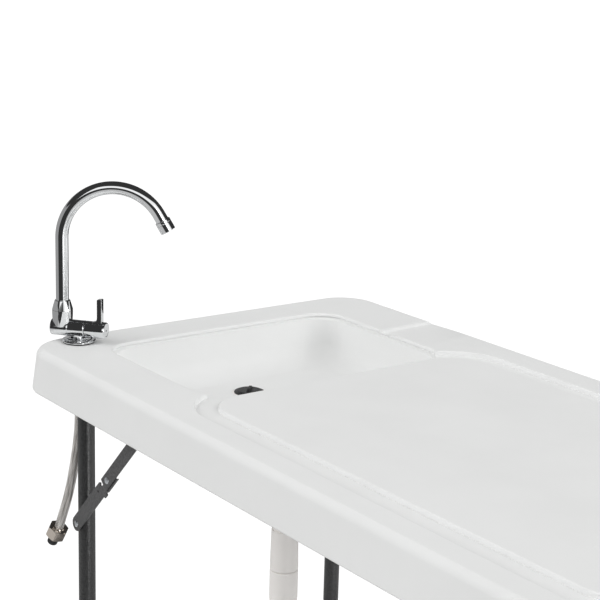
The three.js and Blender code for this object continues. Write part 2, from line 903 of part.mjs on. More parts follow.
// Everything at one end of the table that folds or carries the fold
function foldingEnd(end, pivotDrop, stayReach, stayDrop) {
  const inward = end === 'left' ? 1 : -1;
  const pivot = new THREE.Vector3(inward * (leftEdge + legFromEnd), 0, tableHeight - pivotDrop);
  add(`${end}_leg_frame`, geometryOf(legFrame(pivot, stayReach)), hammeredSteel);

  const legY = tableWidth / 2 - legFromSide;
  const face = legY + legDiameter / 2;
  const rise = stayReach + pivotDrop - stayDrop;
  const run = Math.sqrt((stayLower + stayUpper) ** 2 - rise ** 2);
  const angle = Math.atan2(rise, run);
  for (const [row, side] of [['near', 1], ['far', -1]]) {
    const name = `${row}_${end}`;
    const cap = footCap().translate(pivot.x, -side * legY, 0);
    add(`${name}_foot_cap`, cap, blackRubber);

    const bracketY = -side * (legY + pivotOverhang - bracketSheet - gap);
    const bracket = geometryOf(earBracket(
      pivotDrop - deckThickness,
      bracketWidth,
      pivotDiameter / 2 + gap,
      bracketInset + bracketSheet,
    ));
    bracket.scale(1, side, 1).translate(pivot.x, bracketY, pivot.z);
    add(`${name}_pivot_bracket`, bracket, hammeredSteel);

    const legEnd = new THREE.Vector3(pivot.x, -side * face, pivot.z - stayReach);
    const deckEnd = legEnd.clone().add(new THREE.Vector3(inward * run, 0, rise));
    add(`${name}_leg_rivet`, standUp(legRivet(), legEnd, 0, inward, side), zinc);
    add(
      `${name}_lower_link`,
      standUp(geometryOf(lowerLink()), legEnd, angle, inward, side),
      hammeredSteel,
    );
    add(
      `${name}_upper_link`,
      standUp(geometryOf(upperLink()), deckEnd, angle, inward, side),
      hammeredSteel,
    );
    const stay = geometryOf(stayBracket(stayDrop));
    stay.scale(1, side, 1).translate(deckEnd.x, -side * (face + bracketPlane), deckEnd.z);
    add(`${name}_stay_bracket`, stay, hammeredSteel);
  }
}

// The tap stands in its own group, with local +X along the valve body
function tap() {
  const group = new THREE.Group();
  group.position.set(leftEdge + tapFromLeft, nearEdge + tapFromNear, tableHeight);
  group.rotation.z = tapTurn;
  parts.add(group);

  const flangeFrom = gap + gasketThickness + gap;
  const hole = shankRadius + gap;
  add('tap_gasket', sleeve(gasketRadius, hole, gap, gap + gasketThickness), blackRubber, group);
  add('tap_flange', revolve([
    [hole, flangeFrom],
    [tapFlangeRadius, flangeFrom],
    [tapFlangeRadius, flangeFrom + tapFlangeThickness / 2],
    [tapFlangeRadius - tapFlangeThickness / 2, flangeFrom + tapFlangeThickness],
    [tapFlangeRadius * 3 / 4, flangeFrom + tapFlangeThickness],
    [tapHubRadius, tapHubHeight - tapFlangeThickness / 2],
    [tapHubRadius - tapFlangeThickness / 2, tapHubHeight],
    [hole, tapHubHeight],
    [hole, flangeFrom],
  ], fineSides), chrome, group);

  const shankTop = tapHubHeight + gap + shankSeat;
  const shankFoot = -deckThickness - shankReach;
  add('tap_shank', sleeve(shankRadius, shankBore, shankFoot, shankTop), nickel, group);
  const washerTop = -deckThickness - gap;
  const washerLow = washerTop - lockWasherThickness;
  add('tap_washer', sleeve(lockWasherRadius, hole, washerLow, washerTop), zinc, group);
  const nutTop = washerLow - gap;
  const nut = hexNut(lockNutFlats, hole, nutTop - lockNutHeight, nutTop);
  add('tap_lock_nut', geometryOf(nut), nickel, group);

  add('tap_body', geometryOf(tapBody()), chrome, group);
  add('tap_lever', geometryOf(tapLever()), chrome, group);
  add('collar_nut', geometryOf(collarNut()), chrome, group);
  const gooseneck = spoutCurve();
  const neck = tube(gooseneck, spoutRadius, spoutSteps, spoutSides, spoutBore);
  add('spout', neck, chrome, group);
  add('aerator', aerator(gooseneck), chrome, group);
}

// The valve body lies along local X on the hub, with a faceted neck for the riser
function tapBody() {
  const lying = revolve([
    [0, -tapBodyLeft],
    [tapBodyRadius - tapEndRound, -tapBodyLeft],
    [tapBodyRadius, -tapBodyLeft + tapEndRound],
    [tapBodyRadius, -tapGrooveFrom - tapGrooveWidth],
    [tapBodyRadius - tapGrooveDepth, -tapGrooveFrom - tapGrooveWidth / 2],
    [tapBodyRadius, -tapGrooveFrom],
    [tapBodyRadius, tapBodyJoint - tapGrooveDepth],
    [tapBodyRadius - tapGrooveDepth, tapBodyJoint],
    [0, tapBodyJoint],
  ], fineSides).rotateY(Math.PI / 2).translate(0, 0, tapAxisHeight);
  const stem = post(tapHubHeight + gap, tapAxisHeight, tapStemRadius, fineSides);
  const neck = solid(faceted(tapAxisHeight, neckHeight)).intersect(solid(revolve([
    [0, tapAxisHeight],
    [neckRadius, tapAxisHeight],
    [neckRadius, tapAxisHeight + tapBodyRadius / 2],
    [collarMiddle, (tapAxisHeight + tapBodyRadius / 2 + neckHeight) / 2],
    [collarBelly, neckHeight],
    [0, neckHeight],
  ], fineSides)));
  const spigot = post(tapAxisHeight, spigotHeight, spigotRadius).translate(-riserOffset, 0, 0);
  const socketTop = tapHubHeight + shankSeat + 2 * gap;
  const socket = post(tapHubHeight - overrun, socketTop, shankRadius + gap);
  const body = joined(lying, stem, spigot).add(neck.translate([-riserOffset, 0, 0]));
  return body.subtract(solid(socket));
}

// The lever: a turned cap on the end of the body and a flat bar that stands up from it
function tapLever() {
  const from = tapBodyJoint + gap;
  const to = from + leverCapLength;
  const cap = revolve([
    [0, from],
    [tapBodyRadius - tapGrooveDepth, from],
    [tapBodyRadius, from + tapGrooveDepth],
    [tapBodyRadius, to - leverCapRound],
    [tapBodyRadius - leverCapRound * (1 - Math.SQRT1_2), to - leverCapRound * (1 - Math.SQRT1_2)],
    [tapBodyRadius - leverCapRound, to],
    [0, to],
  ], fineSides).rotateY(Math.PI / 2).translate(0, 0, tapAxisHeight);
  const right = to - leverInset;
  const left = right - leverThickness;
  const blade = new THREE.Shape();
  const root = tapAxisHeight + tapBodyRadius / 2;
  const filletTop = tapAxisHeight + tapBodyRadius + leverFillet;
  blade.moveTo(left - leverFillet, root);
  blade.lineTo(right, root);
  blade.lineTo(right, tapAxisHeight + leverHeight);
  blade.lineTo(left, tapAxisHeight + leverHeight - leverTopSlope);
  blade.lineTo(left, filletTop);
  blade.quadraticCurveTo(left, filletTop - leverFillet, left - leverFillet, filletTop - leverFillet);
  blade.closePath();
  const stand = plate(blade, -leverWidth / 2, leverWidth).rotateX(Math.PI / 2);
  const screw = bar(
    new THREE.Vector3(to - leverCapRound, 0, tapAxisHeight),
    new THREE.Vector3(to + overrun, 0, tapAxisHeight),
    setScrewRadius,
    smallSides,
  );
  return joined(cap, stand).subtract(solid(screw));
}

// A hexagon bar between two heights, turned as the collar nut's facets are
function faceted(low, high) {
  const corner = collarFlats / Math.sqrt(3);
  return plate(new THREE.Shape(ringPoints(corner, 6)), low, high - low).rotateZ(collarTurn);
}

// The collar nut: a hexagon turned down from the neck's belly to a waist
function collarNut() {
  const low = neckHeight + gap;
  const high = low + collarHeight;
  const barrel = revolve([
    [0, low],
    [collarBelly, low],
    [collarMiddle, (low + high) / 2],
    [collarWaist, high],
    [0, high],
  ], fineSides);
  const bore = post(low - overrun, high + overrun, spoutRadius + gap);
  const nut = solid(faceted(low, high)).intersect(solid(barrel)).subtract(solid(bore));
  return nut.translate([-riserOffset, 0, 0]);
}

// Centre line of the gooseneck, in the tap's own frame
function spoutCurve() {
  const foot = new THREE.Vector3(-riserOffset, 0, spigotHeight + gap);
  const bendStart = new THREE.Vector3(-riserOffset, 0, spoutStraightTop);
  const curve = new THREE.CurvePath();
  curve.add(new THREE.LineCurve3(foot, bendStart));
  const towards = new THREE.Vector3(Math.cos(spoutTurn), Math.sin(spoutTurn), 0);
  const bend = new Bend(bendStart, plumb, towards, spoutBend, spoutSweep);
  const bendEnd = bend.getPoint(1);
  const tip = bendEnd.clone().addScaledVector(bend.endHeading(), spoutTipLength + aeratorCover);
  curve.add(bend);
  curve.add(new THREE.LineCurve3(bendEnd, tip));
  return curve;
}

// The aerator: a turned cup that covers the end of the spout
function aerator(curve) {
  const bend = curve.curves[1];
  const heading = bend.endHeading();
  const inner = spoutRadius + gap;
  const screen = aeratorCover + gap;
  const cup = revolve([
    [0, screen],
    [inner, screen],
    [inner, gap],
    [aeratorRadius - aeratorWall / 2, gap],
    [aeratorRadius, gap + aeratorWall / 2],
    [aeratorRadius, aeratorLength - aeratorWall / 2],
    [aeratorRadius - aeratorWall / 2, aeratorLength],
    [spoutBore, aeratorLength],
    [spoutBore, screen + aeratorWall * 2],
    [0, screen + aeratorWall * 2],
  ], fineSides);
  cup.applyQuaternion(new THREE.Quaternion().setFromUnitVectors(plumb, heading));
  const top = bend.getPoint(1).addScaledVector(heading, spoutTipLength);
  return cup.translate(top.x, top.y, top.z);
}

// The supply hose hangs from the shank's swivel nut past the near left leg
function supplyHose() {
  const x = leftEdge + tapFromLeft;
  const y = nearEdge + tapFromNear;
  const shankFoot = tableHeight - deckThickness - shankReach;
  const nutTop = shankFoot + hoseNutCover;
  const nut = hexNut(hoseNutFlats, shankRadius + gap, nutTop - hoseNutHeight, nutTop);
  add('supply_swivel_nut', geometryOf(nut).translate(x, y, 0), nickel);
  const ferruleTop = shankFoot - gap;
  const ferruleFoot = nutTop - hoseNutHeight - hoseFerruleHeight;
  add('supply_top_ferrule', revolve([
    [0, ferruleFoot],
    [hoseFerrule, ferruleFoot],
    [hoseFerrule, ferruleTop],
    [0, ferruleTop],
  ]).translate(x, y, 0), zinc);

  const curve = new THREE.CatmullRomCurve3(supplyRoute.map((point) => new THREE.Vector3(...point)));
  add('supply_hose', tube(curve, hoseRadius, hoseSteps, hoseSides), braid);

  const end = new THREE.Vector3(...supplyRoute.at(-1));
  const heading = end.clone().sub(new THREE.Vector3(...supplyRoute.at(-2))).normalize();
  const turn = new THREE.Quaternion().setFromUnitVectors(plumb, heading);
  const place = (geometry) => {
    const piece = geometry.applyQuaternion(turn);
    return piece.translate(end.x, end.y, end.z);
  };
  const nutBody = hexNut(endNutFlats, endNutBore, gap, endNutHeight)
    .add(solid(sleeve(endNutBore + endNutLid, hoseRadius / 2, gap, endNutLid + gap)));
  add('supply_end_nut', place(geometryOf(nutBody)), nickel);
  const plugFrom = endNutLid + 2 * gap;
  add('supply_stopper', place(revolve([
    [0, plugFrom],
    [stopperHead, plugFrom],
    [stopperHead, plugFrom + stopperHeadHeight],
    [stopperRadius, plugFrom + stopperHeadHeight],
    [stopperRadius, plugFrom + stopperHeadHeight + stopperLength],
    [0, plugFrom + stopperHeadHeight + stopperLength],
  ])), blackRubber);
}

// Everything on the drain's own axis, then the pipe and the hose that hang from it
function drain() {
  const floor = tableHeight - sinkDepth;
  const under = floor - sinkWall - gap;
  const x = leftEdge + drainFromLeft;
  const y = nearEdge + drainFromNear;
  const place = (geometry) => geometry.translate(x, y, 0);
  const flangeFrom = floor - drainFlangeThickness + gap;
  const tailFoot = floor - sinkWall - drainTailLength;
  add('drain_flange', place(revolve([
    [drainBoreRadius, tailFoot],
    [drainTailRadius, tailFoot],
    [drainTailRadius, flangeFrom],
    [drainFlangeRadius, flangeFrom],
    [drainFlangeRadius, floor],
    [drainBoreRadius + drainFlangeThickness / 2, floor],
    [drainBoreRadius, floor - drainFlangeThickness / 2],
    [drainBoreRadius, tailFoot],
  ], fineSides)), pipePlastic);
  const inner = drainTailRadius + gap;
  const gasketFoot = under - drainGasketThickness;
  add('drain_gasket', place(sleeve(drainGasketRadius, inner, gasketFoot, under, fineSides)), blackRubber);
  const nutTop = gasketFoot - gap;
  add(
    'drain_lock_nut',
    place(geometryOf(hexNut(drainNutFlats, inner, nutTop - drainNutHeight, nutTop, fineSides))),
    pipePlastic,
  );

  const slipFoot = tailFoot - slipNutHeight / 3;
  const hexagon = new THREE.Shape(ringPoints(slipNutFlats / Math.sqrt(3), 6));
  const slipBore = revolve([
    [0, slipFoot - overrun],
    [pipeRadius + gap, slipFoot - overrun],
    [pipeRadius + gap, tailFoot - gap],
    [inner, tailFoot - gap],
    [inner, slipFoot + slipNutHeight + overrun],
    [0, slipFoot + slipNutHeight + overrun],
  ], fineSides);
  const slip = solid(plate(hexagon, slipFoot, slipNutHeight)).subtract(solid(slipBore));
  add('drain_slip_nut', place(geometryOf(slip)), pipePlastic);

  add('sink_plug', place(geometryOf(sinkPlug(floor + gap))), blackRubber);
  drainHose(new THREE.Vector3(x, y, tailFoot - gap));
}

// The offset pipe that leads from start to the hanging hose, with the hose and its cuffs
function drainHose(start) {
  const across = new THREE.Vector3(1, 0, 0);
  const down = plumb.clone().negate();
  const bendFrom = start.clone().addScaledVector(down, slipNutHeight / 2);
  const first = new Bend(bendFrom, down, across, pipeBend, pipeTurn);
  const offset = hoseFromLeft - drainFromLeft;
  const slant = (offset - 2 * pipeBend * (1 - Math.cos(pipeTurn))) / Math.sin(pipeTurn);
  const slantEnd = first.getPoint(1).addScaledVector(first.endHeading(), slant);
  const back = first.endTowards().negate();
  const second = new Bend(slantEnd, first.endHeading(), back, pipeBend, pipeTurn);
  const cuffFoot = tableHeight - cuffFootDrop;
  const cuffTop = cuffFoot + cuffLength;
  const spigot = second.getPoint(1);
  const pipeFoot = spigot.clone();
  pipeFoot.z = cuffTop - cuffLength / 3;
  const pipe = new THREE.CurvePath();
  pipe.add(new THREE.LineCurve3(start, first.start));
  pipe.add(first);
  pipe.add(new THREE.LineCurve3(first.getPoint(1), slantEnd));
  pipe.add(second);
  pipe.add(new THREE.LineCurve3(spigot, pipeFoot));
  add('drain_offset_pipe', tube(pipe, pipeRadius, pipeSteps, tubeSides, pipeBore), pipePlastic);

  const lip = cuffWall;
  const cuff = revolve([
    [pipeRadius + gap, cuffTop],
    [cuffTopRadius, cuffTop],
    [cuffFootRadius, cuffFoot + lip],
    [cuffFootRadius - lip, cuffFoot],
    [cuffFootRadius - 2 * lip, cuffFoot],
    [cuffFootRadius - 2 * lip, pipeFoot.z],
    [pipeRadius + gap, pipeFoot.z],
    [pipeRadius + gap, cuffTop],
  ], fineSides);
  add('drain_hose_cuff', cuff.translate(pipeFoot.x, pipeFoot.y, 0), pipePlastic);

  const hoseTop = cuffFoot - gap;
  const hose = ribbedHose(hoseTop);
  add('drain_hose', hose.geometry.translate(pipeFoot.x, pipeFoot.y, 0), pipePlastic);
  const endTop = hose.foot - gap;
  add('drain_hose_end', revolve([
    [ribBore, endTop - hoseEndCuffLength],
    [hoseCuffRadius - lip / 2, endTop - hoseEndCuffLength],
    [hoseCuffRadius, endTop - hoseEndCuffLength + lip / 2],
    [hoseCuffRadius, endTop - lip],
    [hoseCuffRadius - lip, endTop],
    [ribBore, endTop],
    [ribBore, endTop - hoseEndCuffLength],
  ], tubeSides).translate(pipeFoot.x, pipeFoot.y, 0), pipePlastic);
}

// The rubber plug: a disc over a skirt, with a bar grip across it
function sinkPlug(seat) {
  const disc = revolve([
    [0, seat - plugSkirtDepth],
    [plugSkirtRadius - plugThickness / 2, seat - plugSkirtDepth],
    [plugSkirtRadius, seat],
    [plugRadius, seat],
    [plugRadius, seat + plugThickness / 3],
    [plugRadius * 3 / 4, seat + plugThickness],
    [0, seat + plugThickness],
  ], fineSides);
  const half = plugGripLength / 2;
  const grip = new THREE.Shape();
  grip.moveTo(-half, 0);
  grip.lineTo(half, 0);
  grip.quadraticCurveTo(half * 3 / 4, plugGripHeight, half / 2, plugGripHeight);
  grip.lineTo(-half / 2, plugGripHeight);
  grip.quadraticCurveTo(-half * 3 / 4, plugGripHeight, -half, 0);
  const stand = plate(grip, -plugGripThickness / 2, plugGripThickness).rotateX(Math.PI / 2);
  stand.rotateZ(Math.PI * 3 / 4).translate(0, 0, seat + plugThickness / 2);
  return joined(disc, stand);
}

// The ribbed hose: a bore and a wall of ribs, two rings to a rib, with a plain end at each side
function ribbedHose(top) {
  const plain = 2 * ribCrest;
  const length = 2 * plain + ribCount * ribPitch;
  const foot = top - length;
  const outer = [[ribRoot, top], [ribRoot, top - plain]];
  for (let rib = 0; rib < ribCount; rib += 1) {
    const from = top - plain - rib * ribPitch;
    outer.push([ribCrest, from - ribPitch / 4], [ribRoot, from - ribPitch]);
  }
  outer.push([ribRoot, foot]);
  const inner = [];
  const boreSteps = Math.ceil(ribCount / ringsPerBore);
  for (let step = 0; step <= boreSteps; step += 1) {
    inner.push([ribBore, foot + (step / boreSteps) * length]);
  }
  const profile = [...outer, ...inner, outer[0]];
  return { geometry: revolve(profile, ribPoints), foot };
}

add('table_top', geometryOf(tableTop()), whitePlastic);
foldingEnd('left', leftPivotDrop, leftStayReach, leftStayDrop);
foldingEnd('right', rightPivotDrop, rightStayReach, rightStayDrop);
tap();
supplyHose();
drain();

export default parts;
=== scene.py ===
import bmesh
import bpy
import numpy as np
from mathutils import Matrix, Vector
from numpy import arange, array, concatenate, cos, linspace, pi, radians, sin, sqrt, stack, vstack


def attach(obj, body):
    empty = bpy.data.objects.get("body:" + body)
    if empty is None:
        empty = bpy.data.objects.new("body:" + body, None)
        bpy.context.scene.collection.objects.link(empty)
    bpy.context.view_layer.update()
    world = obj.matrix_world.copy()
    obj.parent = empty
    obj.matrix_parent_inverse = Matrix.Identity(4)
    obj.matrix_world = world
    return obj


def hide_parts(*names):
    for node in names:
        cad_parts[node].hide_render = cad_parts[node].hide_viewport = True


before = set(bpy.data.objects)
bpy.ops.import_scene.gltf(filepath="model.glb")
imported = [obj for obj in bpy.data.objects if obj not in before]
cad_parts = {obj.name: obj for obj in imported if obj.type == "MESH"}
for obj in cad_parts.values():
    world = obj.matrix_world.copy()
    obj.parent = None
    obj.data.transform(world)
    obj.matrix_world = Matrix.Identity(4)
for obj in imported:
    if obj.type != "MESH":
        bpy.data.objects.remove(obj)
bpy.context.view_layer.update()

scene = bpy.context.scene


# Camera
# A still camera to the right of the near side and a little above the top, turned to the sink
# end.
def in_scene(name, data):
    """A new object in the scene."""
    thing = bpy.data.objects.new(name, data)
    scene.collection.objects.link(thing)
    return thing


shift = Matrix.Translation
camera_place = (1.4612, -1.2874, 1.5747)
camera_right = (0.5837, 0.8116, 0.0261)
camera_up = (-0.2134, 0.1223, 0.9694)
camera_back = (0.7835, -0.5713, 0.2445)
lens = bpy.data.cameras.new("camera")
lens.sensor_width = 36.0
lens.lens = 96.61
lens.clip_start = 0.05
lens.clip_end = 80.0
scene.camera = in_scene("camera", lens)
turn = Matrix((camera_right, camera_up, camera_back)).transposed().to_4x4()
scene.camera.matrix_world = shift(camera_place) @ turn


# Supply hose
# A rubber hose in a jacket of braided stainless wire. It leaves a crimped ferrule under the
# tap's swivel nut, hangs past the leg and ends in a nickel-plated nut with a black stopper.
def smooth_path(points, per_span):
    """Catmull-Rom curve: in each span a cubic through its two points whose slope at a point
    is half the step between that point's neighbours. The end points are doubled."""
    p = np.asarray(points, float)
    p = vstack([2 * p[0] - p[1], p, 2 * p[-1] - p[-2]])
    a, b, c, d = p[:-3, None], p[1:-2, None], p[2:-1, None], p[3:, None]
    t = linspace(0, 1, per_span, endpoint=False)[None, :, None]
    curve = b + t * (c - a) / 2
    curve = curve + t**2 * (2 * a - 5 * b + 4 * c - d) / 2
    curve = curve + t**3 * (3 * b - a - 3 * c + d) / 2
    return vstack([curve.reshape(-1, 3), p[-2]])


def along(path):
    """Distance from the start of a path to each of its points."""
    steps = np.linalg.norm(np.diff(path, axis=0), axis=1)
    return concatenate([[0], np.cumsum(steps)])


def evenly(path, count):
    """The same path with count points at equal distances."""
    s = along(path)
    at = linspace(0, s[-1], count)
    return stack([np.interp(at, s, path[:, axis]) for axis in range(3)], 1)


def unit_rows(rows):
    """Each row at length one."""
    return rows / np.linalg.norm(rows, axis=1, keepdims=True)


def round_angles(count):
    """Equal angles all the way round."""
    return linspace(0, 2 * pi, count, endpoint=False)


def carried(path, side, radius, around):
    """Tube: path(u) + r(u, v) (cos v N(u) + sin v B(u)). N is side turned square to the
    path and B is square to both. r is one number or a grid of them."""
    tangent = unit_rows(np.gradient(path, axis=0))
    side = np.asarray(side, float)
    across = unit_rows(side - (tangent @ side)[:, None] * tangent)
    other = np.cross(tangent, across)
    v = round_angles(around)[None, :, None]
    ring = cos(v) * across[:, None] + sin(v) * other[:, None]
    r = np.broadcast_to(np.asarray(radius, float), (len(path), around))
    return path[:, None] + r[..., None] * ring


def turned(profile, around, phase=0.0):
    """Turned shape: a profile of [radius, height] pairs carried round the Z axis."""
    profile = np.asarray(profile, float)
    v = phase + round_angles(around)
    r, h = profile[:, :1], profile[:, 1:]
    height = np.broadcast_to(h, (len(profile), around))
    return stack([r * cos(v), r * sin(v), height], 2)


def softened(profile, radii, steps=5, closed=False):
    """A polyline with its corners rounded. Each corner becomes a quadratic arc that starts
    and ends at its radius along the two sides, so a radius of zero leaves it as it is."""
    p = np.asarray(profile, float)
    radii = np.broadcast_to(np.asarray(radii, float), len(p)).copy()
    before, after = np.roll(p, 1, axis=0), np.roll(p, -1, axis=0)
    if not closed:
        radii[[0, -1]] = 0
        before[0], after[-1] = p[0], p[-1]
    rounds = []
    for way in (before - p, after - p):
        length = np.maximum(np.linalg.norm(way, axis=1, keepdims=True), 1e-9)
        rounds.append(p + way / length * np.minimum(radii[:, None], length / 2))
    start, end = rounds
    t = linspace(0, 1, steps)[None, :, None]
    arc = (1 - t) ** 2 * start[:, None] + 2 * t * (1 - t) * p[:, None] + t**2 * end[:, None]
    flat = arc.reshape(-1, p.shape[1])
    keep = np.ones(len(flat), bool)
    keep[1:] = np.linalg.norm(np.diff(flat, axis=0), axis=1) > 1e-7
    return flat[keep]


def mesh_of(*grids, ring=False):
    """One mesh from grids of points. Each grid's columns close round, its rows too where
    ring is true, and the map's u runs round the piece and v along it."""
    places, faces, maps = [], [], []
    offset = 0
    for grid in grids:
        rows, cols = grid.shape[:2]
        spans = rows if ring else rows - 1
        i, j = np.meshgrid(arange(spans), arange(cols), indexing="ij")
        i2, j2 = (i + 1) % rows, (j + 1) % cols
        quad = stack([i * cols + j, i * cols + j2, i2 * cols + j2, i2 * cols + j], 2)
        faces.append(offset + quad.reshape(-1, 4))
        u = stack([j, j + 1, j + 1, j], 2).reshape(-1) / cols
        v = stack([i, i, i + 1, i + 1], 2).reshape(-1) / spans
        maps.append(stack([u, v], 1))
        places.append(grid.reshape(-1, 3))
        offset += rows * cols
    mesh = bpy.data.meshes.new("shape")
    mesh.from_pydata(vstack(places), [], vstack(faces))
    layer = mesh.uv_layers.new(name="around_and_along")
    layer.data.foreach_set("uv", vstack(maps).ravel())
    return mesh


def lathed(profile, around, radii=None, steps=5, ring=False, phase=0.0):
    """Mesh of a turned profile, whose corners are first rounded by radii where these are
    given. ring is true for a profile that closes on itself."""
    if radii is not None:
        profile = softened(profile, radii, steps, ring)
    return mesh_of(turned(profile, around, phase), ring=ring)


def tidied(mesh, sharp=40.0, ends=True):
    """Closes seams and poles, fills open round ends, points every face outwards and shades
    the surface smooth up to its sharp edges."""
    made = bmesh.new()
    made.from_mesh(mesh)
    bmesh.ops.remove_doubles(made, verts=made.verts, dist=1e-6)
    bmesh.ops.dissolve_degenerate(made, edges=made.edges, dist=1e-7)
    open_edges = [edge for edge in made.edges if edge.is_boundary]
    if ends and open_edges:
        bmesh.ops.holes_fill(made, edges=open_edges, sides=0)
    bmesh.ops.recalc_face_normals(made, faces=made.faces)
    made.to_mesh(mesh)
    made.free()
    mesh.shade_smooth()
    mesh.set_sharp_from_angle(angle=radians(sharp))
    return mesh


def placed(name, mesh, finish, body, solid="", at=None, sharp=40.0, ends=True):
    """A finished piece: its mesh moved by at and tidied, given its material, riding on a body in
    the place of its solid. A sharp angle of zero leaves the mesh as it is."""
    if at is not None:
        mesh.transform(at)
    if sharp:
        tidied(mesh, sharp, ends)
    material, slot = finish
    mesh.materials.clear()
    mesh.materials.append(material)
    thing = in_scene(name, mesh)
    even = thing.modifiers.new("even shading", "WEIGHTED_NORMAL")
    even.keep_sharp = True
    even.weight = 50
    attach(thing, body)
    if solid:
        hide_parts(solid)
    return thing


def adder(tree):
    """A short way to add a node to a tree: its kind, what goes into its sockets, which is
    another's output or a value, and its settings or its sockets' values by name. It gives the
    node's outputs."""
    def add(kind, inputs=None, **settings):
        node = tree.nodes.new("ShaderNode" + kind)
        for key, value in settings.items():
            if key in node.bl_rna.properties:
                setattr(node, key, value)
            else:
                node.inputs[key.replace("_", " ")].default_value = value
        for key, source in (inputs or {}).items():
            if isinstance(source, bpy.types.NodeSocket):
                tree.links.new(source, node.inputs[key])
            else:
                node.inputs[key].default_value = source
        return node.outputs

    return add


def joiner(tree, sockets):
    """A short way to join outputs to sockets by name."""
    def join(**sources):
        for key, source in sources.items():
            tree.links.new(source, sockets[key.replace("_", " ")])

    return join


def fresh_material(name, **constants):
    """A new material whose Principled shader has some constants, a short way to add nodes and
    one to join them to the shader."""
    material = bpy.data.materials.new(name)
    material.use_nodes = True
    tree = material.node_tree
    sockets = tree.nodes["Principled BSDF"].inputs
    for key, value in constants.items():
        sockets[key.replace("_", " ")].default_value = value
    return material, adder(tree), joiner(tree, sockets)


def effect(name, inputs, outputs):
    """A shader node group with named inputs, each with its usual value, and named outputs with
    their kinds. Returns the group, a short way to add its nodes, the sockets that its inputs
    come in by, and a short way to put out what it makes."""
    tree = bpy.data.node_groups.new(name, "ShaderNodeTree")
    for label, value in inputs.items():
        kind = "NodeSocketFloat" if np.ndim(value) == 0 else "NodeSocketColor"
        socket = tree.interface.new_socket(label, in_out="INPUT", socket_type=kind)
        socket.default_value = value
    for label, kind in outputs.items():
        tree.interface.new_socket(label, in_out="OUTPUT", socket_type="NodeSocket" + kind)
    given = tree.nodes.new("NodeGroupInput").outputs
    made = tree.nodes.new("NodeGroupOutput").inputs
    return tree, adder(tree), given, joiner(tree, made)


def as_mesh(*things):
    """The first object's shape with its modifiers, as a mesh. The objects are removed."""
    graph = bpy.context.evaluated_depsgraph_get()
    made = bpy.data.meshes.new_from_object(things[0].evaluated_get(graph))
    for thing in things:
        bpy.data.objects.remove(thing)
    return made


def combined(mesh, *steps):
    """Joins (+), cuts (-) or keeps in common (&) closed meshes, one after the other."""
    kinds = {"+": "UNION", "-": "DIFFERENCE", "&": "INTERSECT"}
    things = [in_scene("work", mesh)]
    for sign, other in zip(steps[::2], steps[1::2]):
        things.append(in_scene("tool", other))
        step = things[0].modifiers.new("step", "BOOLEAN")
        step.operation = kinds[sign]
        step.object = things[-1]
        step.solver = "EXACT"
    return as_mesh(*things)


def bevelled(mesh, width, angle=30.0):
    """The mesh with every edge sharper than angle eased by a narrow round bevel."""
    made = bmesh.new()
    made.from_mesh(mesh)
    bmesh.ops.remove_doubles(made, verts=made.verts, dist=1e-6)
    bmesh.ops.dissolve_limit(
        made, angle_limit=radians(0.5), verts=made.verts, edges=made.edges
    )
    made.to_mesh(mesh)
    made.free()
    thing = in_scene("work", mesh)
    bevel = thing.modifiers.new("bevel", "BEVEL")
    bevel.width = width
    bevel.segments = 2
    bevel.limit_method = "ANGLE"
    bevel.angle_limit = radians(angle)
    bevel.use_clamp_overlap = True
    done = as_mesh(thing)
    done.shade_smooth()
    done.set_sharp_from_angle(angle=radians(angle))
    return done


# Points of the hose's route, the same as the solid's
supply_route = [
    (-0.5325, -0.2265, 0.8507), (-0.5325, -0.2265, 0.838), (-0.5326, -0.2266, 0.824),
    (-0.533, -0.2275, 0.806), (-0.5336, -0.2292, 0.788), (-0.5344, -0.2314, 0.771),
    (-0.5353, -0.2339, 0.753), (-0.5364, -0.2367, 0.736), (-0.5376, -0.2398, 0.719),
    (-0.5391, -0.2434, 0.702), (-0.5414, -0.2471, 0.6858), (-0.5457, -0.2498, 0.6701),
    (-0.5522, -0.2512, 0.6526),
]
supply_radius = 0.00675
braid_relief = 0.00045
braid_carriers = 10
braid_lay = 0.024
braid_around = 96

supply_path = evenly(smooth_path(supply_route, 12), 420)
supply_length = along(supply_path)[-1]


def braid_height(s, v):
    """Height of a two-way braid at distance s and angle v: two sets of wires run round the
    hose in opposite ways, each a row of rounded ridges, and they take turns on top."""
    left = pi * (v / (2 * pi) * braid_carriers + s / braid_lay * braid_carriers / 2)
    right = pi * (v / (2 * pi) * braid_carriers - s / braid_lay * braid_carriers / 2)
    over = cos(left) * cos(right) > 0
    return sqrt(np.where(over, np.abs(sin(left)), np.abs(sin(right))))


relief = braid_height(along(supply_path)[:, None], round_angles(braid_around)[None, :])
supply_grid = carried(
    supply_path, (1, 0, 0), supply_radius - braid_relief * (1 - relief), braid_around
)

braid, add, join = fresh_material("stainless braid", Metallic=0.6, Roughness=0.33)
streaks = (braid_carriers * 1.5, 9, 1)
spread = add("Mapping", {"Vector": add("TexCoord")["UV"]}, Scale=streaks)
wires = add("TexNoise", {"Vector": spread["Vector"]}, Scale=1.0, Detail=3.0)
# The colour follows the braid's relief: painted shade in the gaps between the wires and painted
# light on their crowns, with random streaks of tone along the wires
tone = add("ValToRGB", {"Fac": add("Attribute", attribute_name="rise")["Fac"]})
gap_shade, crown_light = tone["Color"].node.color_ramp.elements
gap_shade.position, gap_shade.color = 0.4, (0.1, 0.092, 0.085, 1)
crown_light.position, crown_light.color = 0.9, (1.0, 0.96, 0.91, 1)
strand = add(
    "MapRange", {"Value": wires["Fac"]}, From_Min=0.35, From_Max=0.65, To_Min=0.55, To_Max=1.45
)
tint = add("VectorMath", {0: tone["Color"], 1: strand["Result"]}, operation="MULTIPLY")
join(Base_Color=tint["Vector"])

